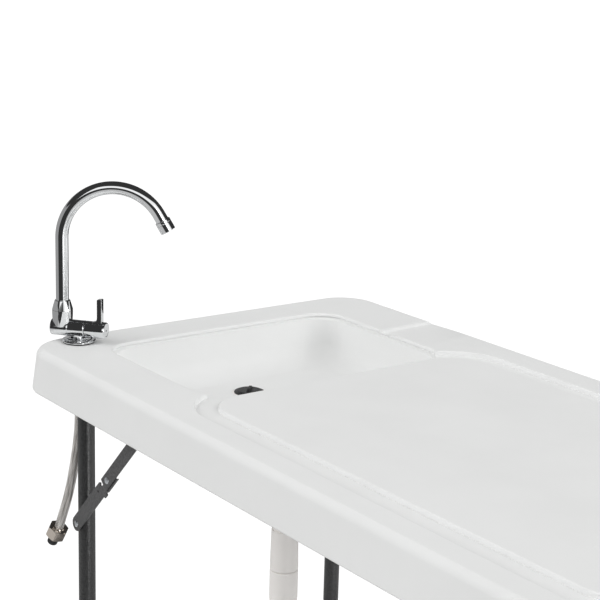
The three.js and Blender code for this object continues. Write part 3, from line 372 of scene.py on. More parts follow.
braid_mesh = mesh_of(supply_grid)
# The relief is kept on the points; the colour's painted shade and painted light are read from it
rise = braid_mesh.attributes.new("rise", "FLOAT", "POINT")
rise.data.foreach_set("value", relief.ravel().astype(np.float32))
supply_hose = placed("supply_hose_braid", braid_mesh, (braid, "braid"), "table", "supply_hose")


# Wiping marks: faint uneven streaks that make a polished face a little rougher
wiping_marks, add, given, put = effect(
    "wiping marks", {"Roughness": 0.05, "Smudge": 0.1}, {"Roughness": "Float"}
)
marks = add("TexNoise", {"Vector": add("TexCoord")["Object"]}, Scale=90.0, Detail=5.0)
roughest = add("Math", {0: given["Roughness"], 1: given["Smudge"]}, operation="ADD")
level = add(
    "MapRange",
    {"Value": marks["Fac"], "To Min": given["Roughness"], "To Max": roughest["Value"]},
    From_Min=0.35, From_Max=0.75,
)
put(Roughness=level["Result"])


def polished(name, slot, color, roughness, smudge):
    """Plated metal: a mirror with wiping marks."""
    material, add, join = fresh_material(name, Base_Color=(*color, 1), Metallic=1.0)
    marks = add("Group", node_tree=wiping_marks, Roughness=roughness, Smudge=smudge)
    join(Roughness=marks["Roughness"])
    return material, slot


nickel = polished("polished nickel", "nickel", (0.76, 0.685, 0.61), 0.08, 0.1)
zinc = polished("zinc plate", "zinc", (0.72, 0.75, 0.78), 0.26, 0.16)


# Moulded grain: a fine pebble grain in relief, and a slow drift of tone
moulded_grain, add, given, put = effect(
    "moulded grain",
    {
        "Color": (1, 1, 1, 1), "Roughness": 0.5, "Grain Scale": 1000.0, "Depth": 0.0001,
        "Variation": 0.1,
    },
    {"Color": "Color", "Roughness": "Float", "Normal": "Vector"},
)
where = add("TexCoord")["Object"]
drift = add("TexNoise", {"Vector": where}, Scale=9.0, Detail=4.0)
darkest = add("Math", {0: 1.0, 1: given["Variation"]}, operation="SUBTRACT")
shade = add(
    "MapRange", {"Value": drift["Fac"], "To Min": darkest["Value"]},
    From_Min=0.3, From_Max=0.7, To_Max=1.0,
)
tint = add("VectorMath", {0: given["Color"], 1: shade["Result"]}, operation="MULTIPLY")
grain = add("TexNoise", {"Vector": where, "Scale": given["Grain Scale"]}, Detail=2.0)
bump = add("Bump", {"Height": grain["Fac"], "Distance": given["Depth"]}, Strength=0.5)
unevenness = add("MapRange", {"Value": grain["Fac"]}, To_Min=-0.06, To_Max=0.06)
level = add("Math", {0: given["Roughness"], 1: unevenness["Result"]}, operation="ADD")
put(Color=tint["Vector"], Roughness=level["Value"], Normal=bump["Normal"])


def grained(name, slot, color, roughness, grain_size, depth, variation, specular=0.5):
    """Moulded rubber or plastic."""
    material, add, join = fresh_material(name, Specular_IOR_Level=specular)
    grain = add(
        "Group", node_tree=moulded_grain, Color=(*color, 1), Roughness=roughness,
        Grain_Scale=1 / grain_size, Depth=depth, Variation=variation,
    )
    join(Base_Color=grain["Color"], Roughness=grain["Roughness"], Normal=grain["Normal"])
    return material, slot


rubber = grained("black rubber", "rubber", (0.022, 0.022, 0.023), 0.5, 0.0006, 0.0001, 0.25)


def hexagon_nut(flats, bore, low, high, ease=0.0003, phase=0.0):
    """Hexagon nut: a six-sided bar kept in common with a turned body that tapers at both ends,
    less its bore. bore is a profile of [radius, height] pairs that runs out past both ends."""
    corner, face = flats / sqrt(3), flats * 0.48
    wide = corner * 1.01
    taper = min((corner - face) * 0.6, (high - low) * 0.3)
    body = [(face, low), (wide, low + taper), (wide, high - taper), (face, high)]
    made = combined(
        tidied(lathed([(corner, low), (corner, high)], 6, phase=phase)),
        "&", tidied(lathed(body, 96, phase=phase)),
        "-", tidied(lathed(bore, 96, phase=phase)),
    )
    return bevelled(made, ease, 20)


def pointing(place, way):
    """Stands a piece that points up Z in its place, turned to point along a way."""
    turn = Vector((0, 0, 1)).rotation_difference(Vector(way))
    return shift(place) @ turn.to_matrix().to_4x4()


# The end nut leans a little off the hose's end
nut_lean = array([-0.166, -0.068, -0.025])
supply_way = supply_path[-1] - supply_path[-12]
supply_way = supply_way / np.linalg.norm(supply_way) + nut_lean
at_hose_end = pointing(supply_path[-1], supply_way / np.linalg.norm(supply_way))
end_nut_bore = [(0.0104, 0.02), (0.0104, 0.0023), (0.0034, 0.0023), (0.0034, -0.002)]
end_nut_turn = radians(10)
end_nut_rim = lathed(
    [(0.0069, -0.0012), (0.0076, -0.0012), (0.0088, 0.001), (0.0069, 0.001)], 96, 0.0004, 4,
    True, end_nut_turn,
)
end_nut = placed(
    "supply_end_nut_faces",
    combined(
        hexagon_nut(0.027, end_nut_bore, 0.0003, 0.018, 0.0005, end_nut_turn),
        "+", tidied(end_nut_rim),
    ),
    nickel, "table", "supply_end_nut", at_hose_end, 30, False,
)
stopper_profile = [
    (0, 0.0026), (0.0099, 0.0026), (0.0099, 0.0056), (0.0078, 0.0056), (0.0078, 0.0325),
    (0, 0.0325),
]
stopper = placed(
    "supply_stopper_cap", lathed(stopper_profile, 64, 0.0012), rubber, "table",
    "supply_stopper", at_hose_end,
)

# The swivel nut that holds the hose to the tap's shank, and the crimped ferrule in it
shank_hole = 0.0078
at_supply = shift((-0.5325, -0.2265, 0))
placed(
    "supply_swivel_faces",
    hexagon_nut(0.022, [(shank_hole, 0.88), (shank_hole, 0.855)], 0.859, 0.877),
    nickel, "table", "supply_swivel_nut", at_supply, 0,
)
crimps = 0.851 + 0.0035 * arange(2)
ferrule_heights = linspace(0.851, 0.8687, 60)
ferrule_radius = 0.0075 - 0.0005 * np.exp(
    -(((ferrule_heights[:, None] - crimps - 0.002) / 0.0005) ** 2)
).sum(1)
ferrule_profile = vstack([
    [[0, ferrule_heights[0]]],
    stack([ferrule_radius, ferrule_heights], 1),
    [[0, ferrule_heights[-1]]],
])
placed(
    "supply_ferrule_crimp", lathed(ferrule_profile, 48), zinc, "table",
    "supply_top_ferrule", at_supply,
)


# Drain hose
# A white flexible waste hose, blown with fine ribs between two smooth cuffs. It is pushed
# over the foot of the offset pipe and hangs free.
pipe_plastic = grained(
    "pipe plastic", "pipe_plastic", (0.98, 0.95, 0.92), 0.4, 0.0009, 0.00004, 0.04
)
hose_axis = (-0.3035, -0.0165)
hose_top, hose_foot = 0.6227, 0.3199
hose_length = hose_top - hose_foot
hose_bore = 0.0174
plain = 0.0414
eased = 0.0016
rib_count, rib_pitch = 55, 0.004
rib_root, rib_crest = 0.0192, 0.0207


def rib_radius(below):
    """Radius of the hose at a distance below its top: plain cuffs with eased ends, and rounded
    ribs between the cuffs, each a sine hump that is flattened at its crest."""
    along_ribs = (below - plain) / rib_pitch
    hump = np.abs(sin(pi * along_ribs)) ** 0.6
    inside = (along_ribs > 0) & (along_ribs < rib_count)
    ease = sqrt(np.clip(np.minimum(below, hose_length - below) / eased, 0, 1))
    return rib_root + (rib_crest - rib_root) * np.where(inside, hump, ease)


hose_down = concatenate([
    eased * linspace(0, 1, 7) ** 2, [plain / 2],
    plain + rib_pitch * linspace(0, rib_count, rib_count * 8 + 1),
    [hose_length - plain / 2],
    hose_length - eased * linspace(1, 0, 7) ** 2,
])
bore_down = linspace(hose_length, 0, 12)
hose_profile = concatenate([
    stack([rib_radius(hose_down), hose_top - hose_down], 1),
    stack([np.full(12, hose_bore), hose_top - bore_down], 1),
])
cuff_profile = softened(
    [
        (0.0178, 0.685), (0.0195, 0.685), (0.0207, 0.6248), (0.0191, 0.623), (0.0173, 0.623),
        (0.0173, 0.6643), (0.0178, 0.6643),
    ],
    [0.0003, 0.001, 0.0012, 0.0006, 0.0003, 0.0002, 0.0002], 6, True,
)
end_profile = softened(
    [
        (0.0174, 0.2856), (0.0198, 0.2856), (0.0207, 0.2865), (0.0207, 0.3178), (0.0189, 0.3196),
        (0.0174, 0.3196),
    ],
    [0.0003, 0.0004, 0.0006, 0.001, 0.0004, 0.0003], 6, True,
)
drain_hose, _, hose_end = [
    placed(
        name, lathed(profile, around, ring=True), pipe_plastic, "table", solid,
        shift((*hose_axis, 0)),
    )
    for name, profile, around, solid in (
        ("drain_hose_ribs", hose_profile, 72, "drain_hose"),
        ("drain_cuff_sleeve", cuff_profile, 96, "drain_hose_cuff"),
        ("drain_end_sleeve", end_profile, 96, "drain_hose_end"),
    )
]
[(*hose_axis, height) for height in linspace(hose_top, hose_foot, 20)]


# Moulded top
# One blow moulding in white polyethylene: rim, flared apron, sink bowl, cutting board and
# juice channel. The board's edges are rolled, and the mould left a faint pebble grain.
left_edge, near_edge, top_level = -0.5715, -0.2985, 0.94
top_corner = 0.062
sink_left, sink_near, sink_right, sink_far = -0.4965, -0.2125, -0.2035, 0.1955
sink_corner = 0.043
board_near, board_right, board_far = -0.2245, 0.5095, 0.2135
board_corner, right_corner_less = 0.055, 0.021
channel_width, channel_mouth = 0.03, -0.2255


def rounded_outline(left, near, right, far, radius, points=24):
    """A rectangle with round corners: the four corner centres, each plus its radius times the
    unit circle's quarter that faces outwards. radius is one for all, or four from near left
    round to far left."""
    quarter = linspace(0, pi / 2, points)
    angle = pi * (1 + arange(4)[:, None] / 2) + quarter
    radius = np.maximum(np.broadcast_to(radius, 4), 1e-5)
    corners = array([(left, near), (right, near), (right, far), (left, far)])
    inwards = array([(1, 1), (-1, 1), (-1, -1), (1, -1)])
    centres = corners + radius[:, None] * inwards
    unit = stack([cos(angle), sin(angle)], 2)
    return (centres[:, None] + radius[:, None, None] * unit).reshape(-1, 2)


def lofted(levels):
    """A closed body through outlines of equal count, each at its own height."""
    return tidied(mesh_of(stack([
        np.column_stack([outline, np.full(len(outline), height)]) for outline, height in levels
    ])))


def top_outline(inset):
    return rounded_outline(
        left_edge + inset, near_edge + inset, -left_edge - inset, -near_edge - inset,
        top_corner - inset,
    )


# The skin: the apron flares out to its foot and turns in there, the rim is a wide round
quarter = linspace(0, pi / 2, 13)
flare, foot_round, rim_round = 0.0062, 0.003, 0.012
skin_levels = [(top_outline(foot_round - flare), 0.8785)]
skin_levels += [
    (top_outline(foot_round * (1 - sin(a)) - flare), 0.8815 - foot_round * cos(a))
    for a in quarter[2::2]
]
skin_levels += [
    (top_outline(rim_round * (1 - cos(a))), top_level - rim_round * (1 - sin(a)))
    for a in quarter
]
deck_round, deck_inset, deck_foot = 0.005, 0.011, 0.922
cavity_levels = [(top_outline(0.0048 - 0.0005), 0.8735), (top_outline(deck_inset), deck_foot)]
cavity_levels += [
    (
        top_outline(deck_inset + deck_round * (1 - cos(a))),
        deck_foot + deck_round * sin(a),
    )
    for a in quarter[2::2]
]

# The bowl's wall leans in by its draft and runs into the floor in a wide round
sink_draft = radians(9)
floor_round = 0.038
bowl_depth = 0.075
lip_inset, lip_round = 0.005, 0.0032
shell = 0.004
above_top = 0.945


def sink_outline(inset, offset=0.0):
    return rounded_outline(
        sink_left + inset, sink_near + inset, sink_right - inset, sink_far - inset,
        sink_corner + offset,
    )


def bowl_levels(offset):
    """The round between the bowl's wall and floor: at angle a from the wall's draft to upright,
    cos a in and sin a down times the round's radius, all moved out by offset."""
    start = bowl_depth - floor_round * (1 - sin(sink_draft))
    start_inset = lip_inset + (start - lip_round) * np.tan(sink_draft)
    levels = []
    for a in linspace(sink_draft, pi / 2, 16):
        inset = start_inset + floor_round * (cos(sink_draft) - cos(a))
        depth = start + floor_round * (sin(a) - sin(sink_draft))
        outline = sink_outline(inset - offset * cos(a), offset)
        levels.append((outline, top_level - depth - offset * sin(a)))
    return levels


hollow_levels = [(sink_outline(0), above_top), (sink_outline(0), top_level)]
hollow_levels += [
    (sink_outline(lip_round * sin(a)), top_level - lip_round * (1 - cos(a)))
    for a in quarter[2::2]
]
# A narrow groove sets the rolled edge off from the wall
groove = [
    (0.0032, 0.0042), (0.0022, 0.005), (0.0019, 0.0058), (0.0024, 0.0066), (0.0046, 0.0075),
    (lip_inset + 0.0055 * np.tan(sink_draft), 0.0087),
]
hollow_levels += [(sink_outline(inset), top_level - depth) for inset, depth in groove]
hollow_levels += bowl_levels(0)
shell_inset = lip_inset + (0.0065 - lip_round) * np.tan(sink_draft) - shell
shell_levels = [(sink_outline(shell_inset, shell), 0.9335)] + bowl_levels(shell)


def board_outline(spread, radius):
    """The board's corners are tighter at its right end than at the sink."""
    return rounded_outline(
        sink_right - spread, board_near - spread, board_right + spread, board_far + spread,
        radius - array([0, right_corner_less, right_corner_less, 0]), 32,
    )


def channel_outline(spread):
    """The channel's outer outline, cut off straight where its mouths open into the sink."""
    outline = board_outline(channel_width + spread, 0.085 + spread)
    outline[:, 0] = np.maximum(outline[:, 0], channel_mouth - spread)
    return outline


edge_round = 0.0024
rolled = [
    (edge_round * (1 - cos(a)), top_level - edge_round * (1 - sin(a)))
    for a in quarter[::3]
]
channel_levels = [(channel_outline(-0.0008), 0.934)]
channel_levels += [(channel_outline(spread), height) for spread, height in rolled]
channel_levels += [(channel_outline(edge_round), above_top)]
island_levels = [(board_outline(0.0008, board_corner), 0.929)]
island_levels += [(board_outline(-spread, board_corner), height) for spread, height in rolled]
island_levels += [(board_outline(-edge_round, board_corner), 0.95)]
channel = combined(lofted(channel_levels), "-", lofted(island_levels))

# The ramped step across the far rim: a wedge with its steep face to the left
wedge = array([
    (-0.0045, 0.005), (-0.004, 0.0001), (-0.0016, -0.0004), (0.0004, -0.0014), (0.0022, -0.0031),
    (0.004, -0.0043), (0.0066, -0.0046), (0.101, 0.0), (0.101, 0.005),
])
skew = radians(5)
rim_step = tidied(mesh_of(stack([
    np.column_stack([
        -0.3585 + (wedge[:, 0] * cos(skew) + y * sin(skew)),
        sink_far - y * cos(skew) + wedge[:, 0] * sin(skew),
        top_level + wedge[:, 1],
    ])
    for y in (0.005, -0.113)
])))

tap_place = Vector((-0.5325, -0.2265, top_level))
drain_place = Vector((-0.4015, -0.0165, 0.865))
at_drain = shift((drain_place.x, drain_place.y, 0))
tail_hole = 0.0193
tap_hole = lathed([(shank_hole, 0.92), (shank_hole, above_top)], 64)
tap_hole.transform(shift((tap_place.x, tap_place.y, 0)))
drain_hole = mesh_of(
    turned([(tail_hole, 0.855), (tail_hole, 0.863), (0.0253, 0.863), (0.0253, 0.87)], 96)
)
drain_hole.transform(at_drain)

# Cone-shaped tack-offs under the board, where the mould pinches the two walls together
dimple_pitch = 0.125
dimple_grid = turned([(0.009, 0.922), (0.009, 0.927), (0.0032, 0.932)], 20)
dimples = mesh_of(*[
    dimple_grid + array([x, y, 0])
    for x in 0.142 + dimple_pitch * (arange(5) - 2)
    for y in -0.0055 + dimple_pitch * (arange(3) - 1)
])

white_plastic = grained(
    "white polyethylene", "white_plastic", (0.8, 0.805, 0.8), 0.46, 0.0011, 0.00006, 0.03, 0.2
)
placed(
    "moulded_top",
    combined(
        lofted(skin_levels), "-", lofted(cavity_levels), "+", lofted(shell_levels), "-", channel,
        "-", rim_step, "-", lofted(hollow_levels), "-", tidied(dimples), "-", tidied(tap_hole),
        "-", tidied(drain_hole),
    ),
    white_plastic, "table", "table_top", sharp=38, ends=False,
)


# Folding leg frames
# Two frames of 25 mm steel tube, each welded from two legs, a pivot tube and a crossbar, and
# powder coated in dark grey hammertone. Black slip-on caps stand on the ground.
hammered_dimples, add, given, put = effect(
    "hammered dimples", {"Color": (0.03, 0.03, 0.03, 1), "Depth": 0.00035},
    {"Color": "Color", "Normal": "Vector"},
)
cells = add(
    "TexVoronoi", {"Vector": add("TexCoord")["Object"]}, feature="SMOOTH_F1", Scale=400.0
)
tone = add(
    "MapRange", {"Value": cells["Distance"]}, From_Min=0.1, From_Max=0.7, To_Min=1.5, To_Max=0.5
)
tint = add("VectorMath", {0: given["Color"], 1: tone["Result"]}, operation="MULTIPLY")
bump = add("Bump", {"Height": cells["Distance"], "Distance": given["Depth"]}, Strength=1.0)
put(Color=tint["Vector"], Normal=bump["Normal"])


def hammertone(name, color):
    """Hammered powder coat: shallow round dimples in relief, lighter in their middles."""
    material, add, join = fresh_material(name, Roughness=0.3, Specular_IOR_Level=0.8)
    dimples = add("Group", node_tree=hammered_dimples, Color=(*color, 1), Depth=0.00035)
    join(Base_Color=dimples["Color"], Normal=dimples["Normal"])
    return material, "hammered_steel"


hammered = hammertone("hammertone coat", (0.026, 0.0265, 0.027))
leg_side, leg_radius, leg_foot = 0.2285, 0.0125, 0.0053
bar_radius, bar_bore = 0.01, 0.0085
crossbar_level, pivot_reach = 0.201, 0.2555
pivot_x = {"left": -0.5081, "right": 0.5081}
pivot_level = {"left": 0.91, "right": 0.881}


def tube(start, end, radius, around=64):
    """A straight closed bar between two points."""
    path = linspace(start, end, 3)
    return tidied(mesh_of(carried(path, (1, 0, 0), radius, around)))


def weld_bead(x, leg_y, level, way):
    """A bead round a saddle joint: on a bar of radius r that meets a leg of radius R, the
    point at angle v is r cos v along, R's half chord towards the leg, and r sin v up."""
    v = round_angles(96)
    along_x = bar_radius * cos(v)
    y = leg_y + way * sqrt(leg_radius**2 - along_x**2)
    seam = stack([x + along_x, y, level + bar_radius * sin(v)], 1)
    out = stack([cos(v), np.full_like(v, way * 0.8), sin(v)], 1)
    seam_way = unit_rows(np.roll(seam, -1, axis=0) - np.roll(seam, 1, axis=0))
    out = unit_rows(out - (out * seam_way).sum(1, keepdims=True) * seam_way)
    other = np.cross(seam_way, out)
    w = round_angles(12)[None, :, None]
    r = (0.0016 * (1 + 0.12 * sin(v * 22)))[:, None, None]
    bead = seam[:, None] + r * (cos(w) * out[:, None] + sin(w) * other[:, None])
    return tidied(mesh_of(bead, ring=True))


cap_profile = [
    (0, 0), (0.0122, 0), (0.0148, 0.0024), (0.0148, 0.01), (0.0142, 0.0105),
    (0.0142, 0.0125), (0.0148, 0.013), (0.0148, 0.036), (0.0128, 0.036), (0.0128, 0.005),
    (0, 0.005),
]
for end, x in pivot_x.items():
    top = pivot_level[end]
    legs = [tube((x, y, leg_foot), (x, y, top), leg_radius) for y in (-leg_side, leg_side)]
    beads = []
    for y, way in ((-leg_side, 1), (leg_side, -1)):
        beads += ["+", weld_bead(x, y, crossbar_level, way), "+", weld_bead(x, y, top, way)]
    frame_mesh = combined(
        legs[0], "+", legs[1], "+", tube((x, -pivot_reach, top), (x, pivot_reach, top), bar_radius),
        "+", tube((x, -leg_side, crossbar_level), (x, leg_side, crossbar_level), bar_radius),
        *beads, "-", tube((x, -0.26, top), (x, 0.26, top), bar_bore, 48),
    )
    placed(
        f"{end}_frame_tubes", frame_mesh, hammered, f"{end}_frame", f"{end}_leg_frame",
        sharp=35, ends=False,
    )
    for row, y in (("near", -leg_side), ("far", leg_side)):
        placed(
            f"{row}_{end}_cap", lathed(cap_profile, 64, 0.0008), rubber, f"{end}_frame",
            f"{row}_{end}_foot_cap", shift((x, y, 0)),
        )


# Brackets and locking stays
# Brackets and links pressed from steel sheet and coated like the legs. Zinc-plated rivets
# join the links, and pan-head screws hold the brackets up under the deck.
def cut_sheet(outlines, thickness, bevel=0.0003):
    """Sheet cut to flat outlines, the first outside and the others holes, lying from zero up
    to its thickness, with both edges of the cut eased by bevel."""
    flat = bpy.data.curves.new("sheet", "CURVE")
    flat.dimensions = "2D"
    flat.fill_mode = "BOTH"
    for outline in outlines:
        line = flat.splines.new("POLY")
        count = len(outline)
        line.points.add(count - 1)
        points = np.column_stack([outline, np.zeros(count), np.ones(count)])
        line.points.foreach_set("co", points.ravel())
        line.use_cyclic_u = True
    flat.extrude = thickness / 2 - bevel
    flat.bevel_depth = bevel
    flat.bevel_resolution = 2
    flat.offset = -bevel
    made = as_mesh(in_scene("work", flat))
    made.transform(shift((0, 0, thickness / 2)))
    return made


def circle(x, y, radius, points=32, start=0.0, sweep=2 * pi):
    """Points on a circle's arc, without the last one when it closes."""
    a = start + linspace(0, sweep, points, endpoint=sweep < 2 * pi)
    return stack([x + radius * cos(a), y + radius * sin(a)], 1)


stay_lower, stay_upper = 0.1372, 0.165
half_lower, half_upper = 0.011, 0.00975
lower_tip, upper_tip = 0.1592, 0.179
sheet = 0.002
rivet_hole = circle(0, 0, 0.0033)
catch = stay_lower - 0.023
lower_corners = softened(
    [
        (0.02, -half_lower), (catch - 0.005, -half_lower), (catch - 0.005, -0.0146),
        (catch + 0.005, -0.0146), (catch + 0.005, -half_lower), (lower_tip, -half_lower),
        (lower_tip, half_lower / 2), (lower_tip - half_lower / 2, half_lower),
        (catch + 0.006, half_lower), (catch + 0.006, half_lower / 4), (catch, half_lower / 4),
        (catch - 0.003, half_lower / 2), (catch, half_lower * 0.75),
        (catch - 0.003, half_lower), (0.02, half_lower),
    ],
    0.0009, 4,
)
lower_outlines = [
    vstack([lower_corners, circle(0, 0, half_lower, 24, pi / 2, pi)]),
    circle(stay_lower - 0.023 * 5 / 3, half_lower / 4, 0.0022), rivet_hole,
]
upper_corners = softened(
    [
        (-0.02, half_upper), (-upper_tip, half_upper), (-upper_tip, -half_upper),
        (-0.02, -half_upper),
    ],
    0.0012, 4,
)
upper_outlines = [
    vstack([upper_corners, circle(0, 0, half_upper, 24, -pi / 2, pi)]), rivet_hole
]
# The lip turned in along the lower link's edge, past the tab
lip_outline = softened(
    [
        (catch + 0.0052, -half_lower), (0.159, -half_lower), (0.159, 0.0015 - half_lower),
        (catch + 0.0052, 0.0015 - half_lower),
    ],
    0.0002, 3, True,
)


def dome(radius, height, base, way=1):
    """Profile of a domed head: a quarter ellipse, made fuller, that stands on its base."""
    a = linspace(0, pi / 2, 12)
    profile = stack([radius * cos(a) ** 0.8, base + way * height * sin(a)], 1)
    profile[-1, 0] = 0
    return profile


def stood_up(anchor, angle, inward, side):
    """Turns a flat piece by angle, stands it on the leg's outer face and moves it there."""
    return (
        shift(anchor) @ Matrix.Diagonal((inward, side, 1, 1)) @ upright
        @ Matrix.Rotation(angle, 4, "Z")
    )


upright = Matrix.Rotation(pi / 2, 4, "X")
stay_plane, screw_reach = 0.241, 0.01325
head_radius, head_height = 0.005, 0.0016
tail_base, head_base = 0.0033, 0.0076
tail_profile, head_profile = [
    vstack([[[0, base]], dome(head_radius, head_height, base, way)])
    for base, way in ((tail_base, -1), (head_base, 1))
]
leg_rivet_profile = vstack([
    [[0, -0.0122], [0.003, -0.0122], [0.003, 0.0003]],
    softened([(0.003, 0.0003), (0.007, 0.0003), (0.007, 0.003), (0.003, 0.003)], 0.0005),
    [[0.003, 0.0054]],
    dome(head_radius, head_height, 0.0054),
])
screw_profile = softened(
    [(0, 0.9221), (0.0022, 0.9221), (0.0044, 0.9236), (0.0044, 0.9243), (0, 0.9243)], 0.0008
)
coat = hammertone("hammertone sheet", (0.055, 0.055, 0.056))
for end, inward, reach, stay_level in (("left", 1, 0.2383, 0.8878), ("right", -1, 0.2147, 0.9032)):
    foot_level = pivot_level[end] - reach
    rise = stay_level - foot_level
    run = sqrt((stay_lower + stay_upper) ** 2 - rise**2)
    angle = np.arctan2(rise, run)
    for row, side in (("near", 1), ("far", -1)):
        name = f"{row}_{end}"
        leg_end = Vector((pivot_x[end], -side * stay_plane, foot_level))
        deck_end = leg_end + Vector((inward * run, 0, rise))
        lower = cut_sheet(lower_outlines, sheet)
        lower.transform(shift((0, 0, tail_base)))
        lip = cut_sheet([lip_outline], 0.0045)
        lip.transform(shift((0, 0, 0.0005)))
        upper = cut_sheet(upper_outlines, sheet)
        upper.transform(shift((0, 0, head_base - sheet)))
        at_leg, at_deck = (
            stood_up(anchor, angle, inward, side) for anchor in (leg_end, deck_end)
        )
        placed(
            f"{name}_lower_plate",
            combined(tidied(lower, 30, False), "+", tidied(lip, 30, False)),
            coat, f"{end}_lower_links", f"{name}_lower_link", at_leg, 30, False,
        )
        placed(
            f"{name}_upper_plate", upper, coat, f"{end}_upper_links", f"{name}_upper_link",
            at_deck, 30, False,
        )
        tail = turned(tail_profile, 40) + array([stay_lower, 0, 0])
        head = turned(head_profile, 40) + array([-stay_upper, 0, 0])
        placed(f"{name}_middle_tail", mesh_of(tail), zinc, f"{end}_lower_links", at=at_leg)
        placed(f"{name}_middle_head", mesh_of(head), zinc, f"{end}_upper_links", at=at_deck)
        placed(
            f"{name}_leg_rivet_head", lathed(leg_rivet_profile, 40), zinc,
            f"{end}_frame", f"{name}_leg_rivet", stood_up(leg_end, 0, inward, side),
        )
        for bracket, x, y, spread in (
            ("pivot_bracket", pivot_x[end], 0.2527, 0.0085),
            ("stay_bracket", deck_end.x, 0.2489, 0.006375),
        ):
            node = f"{name}_{bracket}"
            plate = bevelled(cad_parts[node].data.copy(), 0.0004, 35)
            placed(f"{node}_plate", plate, coat, "table", node, sharp=0)
            screws = [
                turned(screw_profile, 24) + array([x + way * spread, -side * (y + screw_reach), 0])
                for way in (-1, 1)
            ]
            placed(f"{node}_screws", mesh_of(*screws), zinc, "table")


# Tap
# A chrome-plated brass pillar tap: a flange on a rubber gasket, a valve body that lies on it,
# a lever with a turned cap, and a gooseneck spout held down by a faceted collar nut.
chrome = polished("polished chrome", "chrome", (0.86, 0.87, 0.88), 0.02, 0.05)
tap_turn, body_level = radians(40), 0.02
tap_matrix = shift(tap_place) @ Matrix.Rotation(tap_turn, 4, "Z")
lay_along = shift((0, 0, body_level)) @ Matrix.Rotation(pi / 2, 4, "Y")
riser_foot = array([-0.0246, 0, 0])
body_radius = 0.0122


def on_tap(name, mesh, finish, solid, body="table", sharp=35, ends=True):
    """A finished piece that stands in the tap's own frame, with X along the valve body."""
    return placed(name, mesh, finish, body, solid, tap_matrix, sharp, ends)


def moved(mesh, at):
    """The mesh in its place in the tap, closed and tidied."""
    mesh.transform(at)
    return tidied(mesh)


gasket = [(shank_hole, 0.0003), (0.023, 0.0003), (0.023, 0.0019), (shank_hole, 0.0019)]
on_tap("tap_gasket_ring", lathed(gasket, 96, 0.0005, 4, True), rubber, "tap_gasket")
flange_profile = [
    (shank_hole, 0.0022), (0.0245, 0.0022), (0.0245, 0.0036), (0.023, 0.0048),
    (0.0192, 0.0048), (0.0176, 0.0056), (0.0142, 0.0058), (0.0142, 0.0053),
    (shank_hole, 0.0053),
]
on_tap(
    "tap_flange_disc",
    combined(
        tidied(lathed(flange_profile, 96, 0.0007, 6, True)),
        "+", hexagon_nut(0.0242, [(shank_hole, 0.009), (shank_hole, 0.004)], 0.005, 0.0074),
    ),
    chrome, "tap_flange", ends=False,
)

body_profile = softened(
    [
        (0, -0.0404), (body_radius, -0.0404), (body_radius, -0.0148), (0.0113, -0.0141),
        (body_radius, -0.0134), (body_radius, 0.0103), (0.0113, 0.0111), (0, 0.0111),
    ],
    [0, 0.0016, 0.0002, 0.0002, 0.0002, 0.0004, 0.0004, 0], 6,
)
stem_profile = softened([(0, 0.0077), (0.0086, 0.0077), (0.0086, 0.02), (0, 0.02)], 0.0004, 4)
neck_top, collar_top = 0.0457, 0.0606
facet_turn, facet_bulge = radians(29), radians(10)


def faceted(profile, corners):
    """A six-sided bar kept in common with a turned body. Each face of the bar is a shallow arc
    from corner to corner, radius 1 / (2 sin bulge) of the corner radius. corners gives the
    corner radius and the height, at the bar's foot and at its top; profile is the body's."""
    face = np.exp(1j * linspace(-facet_bulge, facet_bulge, 9)[:-1]) - cos(facet_bulge)
    face = cos(pi / 6) + face / (2 * sin(facet_bulge))
    turns = np.exp(1j * (facet_turn + radians(30 + 60 * arange(6))))
    ring = (turns[:, None] * face).ravel()
    bar = stack([
        stack([ring.real * radius, ring.imag * radius, np.full(len(ring), height)], 1)
        for radius, height in corners
    ])
    body = turned(profile, 144, facet_turn)
    return combined(tidied(mesh_of(bar)), "&", tidied(mesh_of(body)))


neck = faceted(
    [(0.01, 0.0206), (0.0134, 0.0232), (0.0142, 0.029), (0.0148, 0.0359), (0.0151, neck_top)],
    [(0.0141, 0.0199), (0.0152, 0.0456)],
)
neck.transform(shift(riser_foot))
spigot = lathed([(0.0065, 0.02), (0.0065, 0.051)], 48)
socket = lathed([(shank_hole, 0.002), (shank_hole, 0.013)], 48)
on_tap(
    "tap_valve_body",
    combined(
        moved(lathed(body_profile, 96), lay_along),
        "+", tidied(lathed(stem_profile, 64)), "+", neck,
        "+", moved(spigot, shift(riser_foot)), "-", tidied(socket),
    ),
    chrome, "tap_body", ends=False,
)

lever_cap_profile = softened(
    [
        (0, 0.0114), (0.0113, 0.0114), (body_radius, 0.0122), (body_radius, 0.0426),
        (0.0086, 0.0426), (0.008, 0.0422), (0, 0.0422),
    ],
    [0, 0.0005, 0.0005, 0.0034, 0.0003, 0.0003, 0], 9,
)
t = linspace(0, 1, 12)[:, None]
root_high, root_corner, root_low = array([
    [0.0292, 0.0392], [0.0292, 0.0322], [0.0222, 0.0322]
])
lever_outline = vstack([
    [[0.0222, 0.0261], [0.0366, 0.0261], [0.0366, 0.0655]],
    [[0.0359, 0.0663], [0.03, 0.0656], [0.0292, 0.0648]],
    (1 - t) ** 2 * root_high + 2 * t * (1 - t) * root_corner + t**2 * root_low,
])
lever_width = 0.009
screw_hole = lathed([(0.0015, 0.0386), (0.0015, 0.05)], 24)
on_tap(
    "tap_lever_handle",
    combined(
        moved(lathed(lever_cap_profile, 96), lay_along),
        "+", moved(
            cut_sheet([lever_outline], lever_width, 0.0008),
            shift((0, lever_width / 2, 0)) @ upright,
        ),
        "-", moved(screw_hole, lay_along),
    ),
    chrome, "tap_lever", "lever", ends=False,
)

